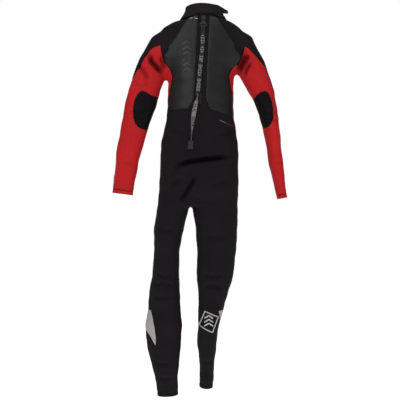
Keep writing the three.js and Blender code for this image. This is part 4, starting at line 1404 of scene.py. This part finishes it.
def make_zip():
    """The finishes of the zip's tapes, teeth, stop, slider and tab, and the flap behind it."""
    for side in SIDES:
        plain(f"zip_tape_{side}", "zip_tape")
        plain(f"zip_teeth_{side}", "zip_plastic")
    plain("zip_bottom_stop", "zip_plastic")
    for name in ("zip_slider", "slider_bridge", "pull_tab"):
        plain(name, "zip_metal")
    softened("zip_backing_flap", "collar_neoprene", 0.0016)


def plain(name, slot):
    """A piece of the frame keeps its shape and takes its finish."""
    node = frame["nodes"][name]
    node.data.materials.clear()
    node.data.materials.append(finish_of(slot))


# ---------------------------------------------------------------- stage

FLOOR_DROP = 0.12  # how far the floor lies below the lower ankle
FLOOR_RADIUS = 3.4
AMBIENT = 0.24  # strength of the white surroundings on the suit
FLOOR_GLOW = 0.8  # the floor is a light table, so that it looks evenly pale from all sides
CAMERA_DISTANCE = 2.3
CAMERA_LENS = 53.8  # in mm, on a sensor 36 mm wide
# Soft lamps: name, place, what they point at, power and size.
LIGHTS = (
    ("key", (-1.2, -2.4, 0.9), (0, 0, -0.3), 23, 1.3),
    ("fill", (1.6, -2.2, -0.3), (0, 0, -0.5), 8, 1.8),
    ("top", (0.0, -0.7, 1.7), (0, 0, -0.6), 16, 1.4),
    ("front", (0.7, 2.5, 0.7), (0, 0, -0.6), 10, 1.6),
)


def make_stage():
    """The camera behind the suit, the pale floor and the lamps."""
    scene = bpy.context.scene
    scene.view_settings.view_transform = "Standard"
    scene.view_settings.look = "None"
    camera = add_object("camera", bpy.data.cameras.new("camera"))
    low, high = CAD_BOX
    camera.location = (
        (low[0] + high[0]) / 2 + 0.002, -CAMERA_DISTANCE, (low[2] + high[2]) / 2 + 0.006)
    camera.rotation_euler = (math.radians(90), 0, 0)
    camera.data.lens = CAMERA_LENS
    camera.data.sensor_width = 36
    scene.camera = camera

    floor = low[2] - FLOOR_DROP
    steps = 64
    turns = [math.tau * i / steps for i in range(steps)]
    rim = [(FLOOR_RADIUS * math.cos(turn), FLOOR_RADIUS * math.sin(turn)) for turn in turns]
    points = [(x, y, z) for z in (floor, floor - 0.02) for x, y in rim]
    faces = [list(range(steps)), list(range(2 * steps - 1, steps - 1, -1))]
    faces += [[i, i + steps, (i + 1) % steps + steps, (i + 1) % steps] for i in range(steps)]
    paper = Shader("pale floor", (0.93, 0.93, 0.93), 0.9, specular=0.1)
    grain = paper.texture("ShaderNodeTexNoise", "Fac", Scale=3.0, Detail=2.0)
    paper.tint(paper.ramp(grain, 0.3, 0.7, 0.0, 0.3), (0.9, 0.9, 0.9))
    paper.set_socket("Emission Color", (1, 1, 1, 1))
    paper.set_socket("Emission Strength", FLOOR_GLOW)
    mesh_object("pale_floor", points, faces, [paper.done()])
    scene.world = studio_air()
    for name, place, aim, power, size in LIGHTS:
        lamp = bpy.data.lights.new(name, "AREA")
        lamp.energy = power
        lamp.size = size
        made = add_object(name, lamp)
        made.location = place
        made.rotation_euler = (Vector(aim) - Vector(place)).to_track_quat("-Z", "Y").to_euler()


def studio_air():
    """White surroundings that light the suit only a little."""
    world = bpy.data.worlds.new("studio")
    world.use_nodes = True
    tree = world.node_tree
    background = tree.nodes["Background"]
    background.inputs["Color"].default_value = (1, 1, 1, 1)
    path = tree.nodes.new("ShaderNodeLightPath")
    strength = tree.nodes.new("ShaderNodeMapRange")
    strength.inputs["To Min"].default_value = AMBIENT
    strength.inputs["To Max"].default_value = 1.0
    tree.links.new(path.outputs["Is Camera Ray"], strength.inputs["Value"])
    tree.links.new(strength.outputs["Result"], background.inputs["Strength"])
    return world


# ---------------------------------------------------------------- operators

class WETSUIT_OT_stage(bpy.types.Operator):
    """Sets the camera, the pale floor and the soft studio light"""
    bl_idname = "wetsuit.stage"
    bl_label = "Set the stage"

    def execute(self, context):
        make_stage()
        return {"FINISHED"}


class WETSUIT_OT_leash(bpy.types.Operator):
    """Weaves the zip leash with its loop and tip"""
    bl_idname = "wetsuit.leash"
    bl_label = "Weave the leash"

    def execute(self, context):
        make_leash()
        return {"FINISHED"}


class WETSUIT_OT_panels(bpy.types.Operator):
    """Cuts the panels of the body, sleeves and legs from one draped surface"""
    bl_idname = "wetsuit.panels"
    bl_label = "Cut the panels"

    def execute(self, context):
        make_panels()
        return {"FINISHED"}


class WETSUIT_OT_threads(bpy.types.Operator):
    """Sews the flatlock stitches along the seams"""
    bl_idname = "wetsuit.threads"
    bl_label = "Sew the seams"

    def execute(self, context):
        make_threads()
        return {"FINISHED"}


class WETSUIT_OT_collar(bpy.types.Operator):
    """Rolls the collar and lays its flap and closing patches"""
    bl_idname = "wetsuit.collar"
    bl_label = "Roll the collar"

    def execute(self, context):
        make_collar()
        return {"FINISHED"}


class WETSUIT_OT_zip(bpy.types.Operator):
    """Finishes the tapes, teeth, slider and backing flap of the zip"""
    bl_idname = "wetsuit.zip"
    bl_label = "Set the zip"

    def execute(self, context):
        make_zip()
        return {"FINISHED"}


class WETSUIT_OT_prints(bpy.types.Operator):
    """Prints the plain marks on the back, forearm and calf"""
    bl_idname = "wetsuit.prints"
    bl_label = "Print the marks"

    def execute(self, context):
        make_prints()
        return {"FINISHED"}


OPERATORS = (
    WETSUIT_OT_stage, WETSUIT_OT_leash, WETSUIT_OT_panels, WETSUIT_OT_threads,
    WETSUIT_OT_collar, WETSUIT_OT_zip, WETSUIT_OT_prints,
)


class WETSUIT_PT_sidebar(bpy.types.Panel):
    """Lists the settings and the steps of the wetsuit"""
    bl_idname = "WETSUIT_PT_sidebar"
    bl_label = "Wetsuit"
    bl_space_type = "VIEW_3D"
    bl_region_type = "UI"
    bl_category = "Wetsuit"

    def draw(self, context):
        for settings in (context.scene.wetsuit_sizes, context.scene.wetsuit_colours):
            column = self.layout.column()
            for name in settings.__annotations__:
                column.prop(settings, name)
        for operator in OPERATORS:
            self.layout.operator(operator.bl_idname)


CLASSES = (WetsuitSizes, WetsuitColours, *OPERATORS, WETSUIT_PT_sidebar)


def register():
    for each in CLASSES:
        bpy.utils.register_class(each)
    bpy.types.Scene.wetsuit_sizes = bpy.props.PointerProperty(type=WetsuitSizes)
    bpy.types.Scene.wetsuit_colours = bpy.props.PointerProperty(type=WetsuitColours)


def unregister():
    del bpy.types.Scene.wetsuit_colours
    del bpy.types.Scene.wetsuit_sizes
    for each in reversed(CLASSES):
        bpy.utils.unregister_class(each)


def main():
    register()
    bpy.ops.wetsuit.stage()
    bpy.ops.wetsuit.leash()
    bpy.ops.wetsuit.panels()
    bpy.ops.wetsuit.threads()
    bpy.ops.wetsuit.collar()
    bpy.ops.wetsuit.zip()
    bpy.ops.wetsuit.prints()


if __name__ == "__main__":
    main()
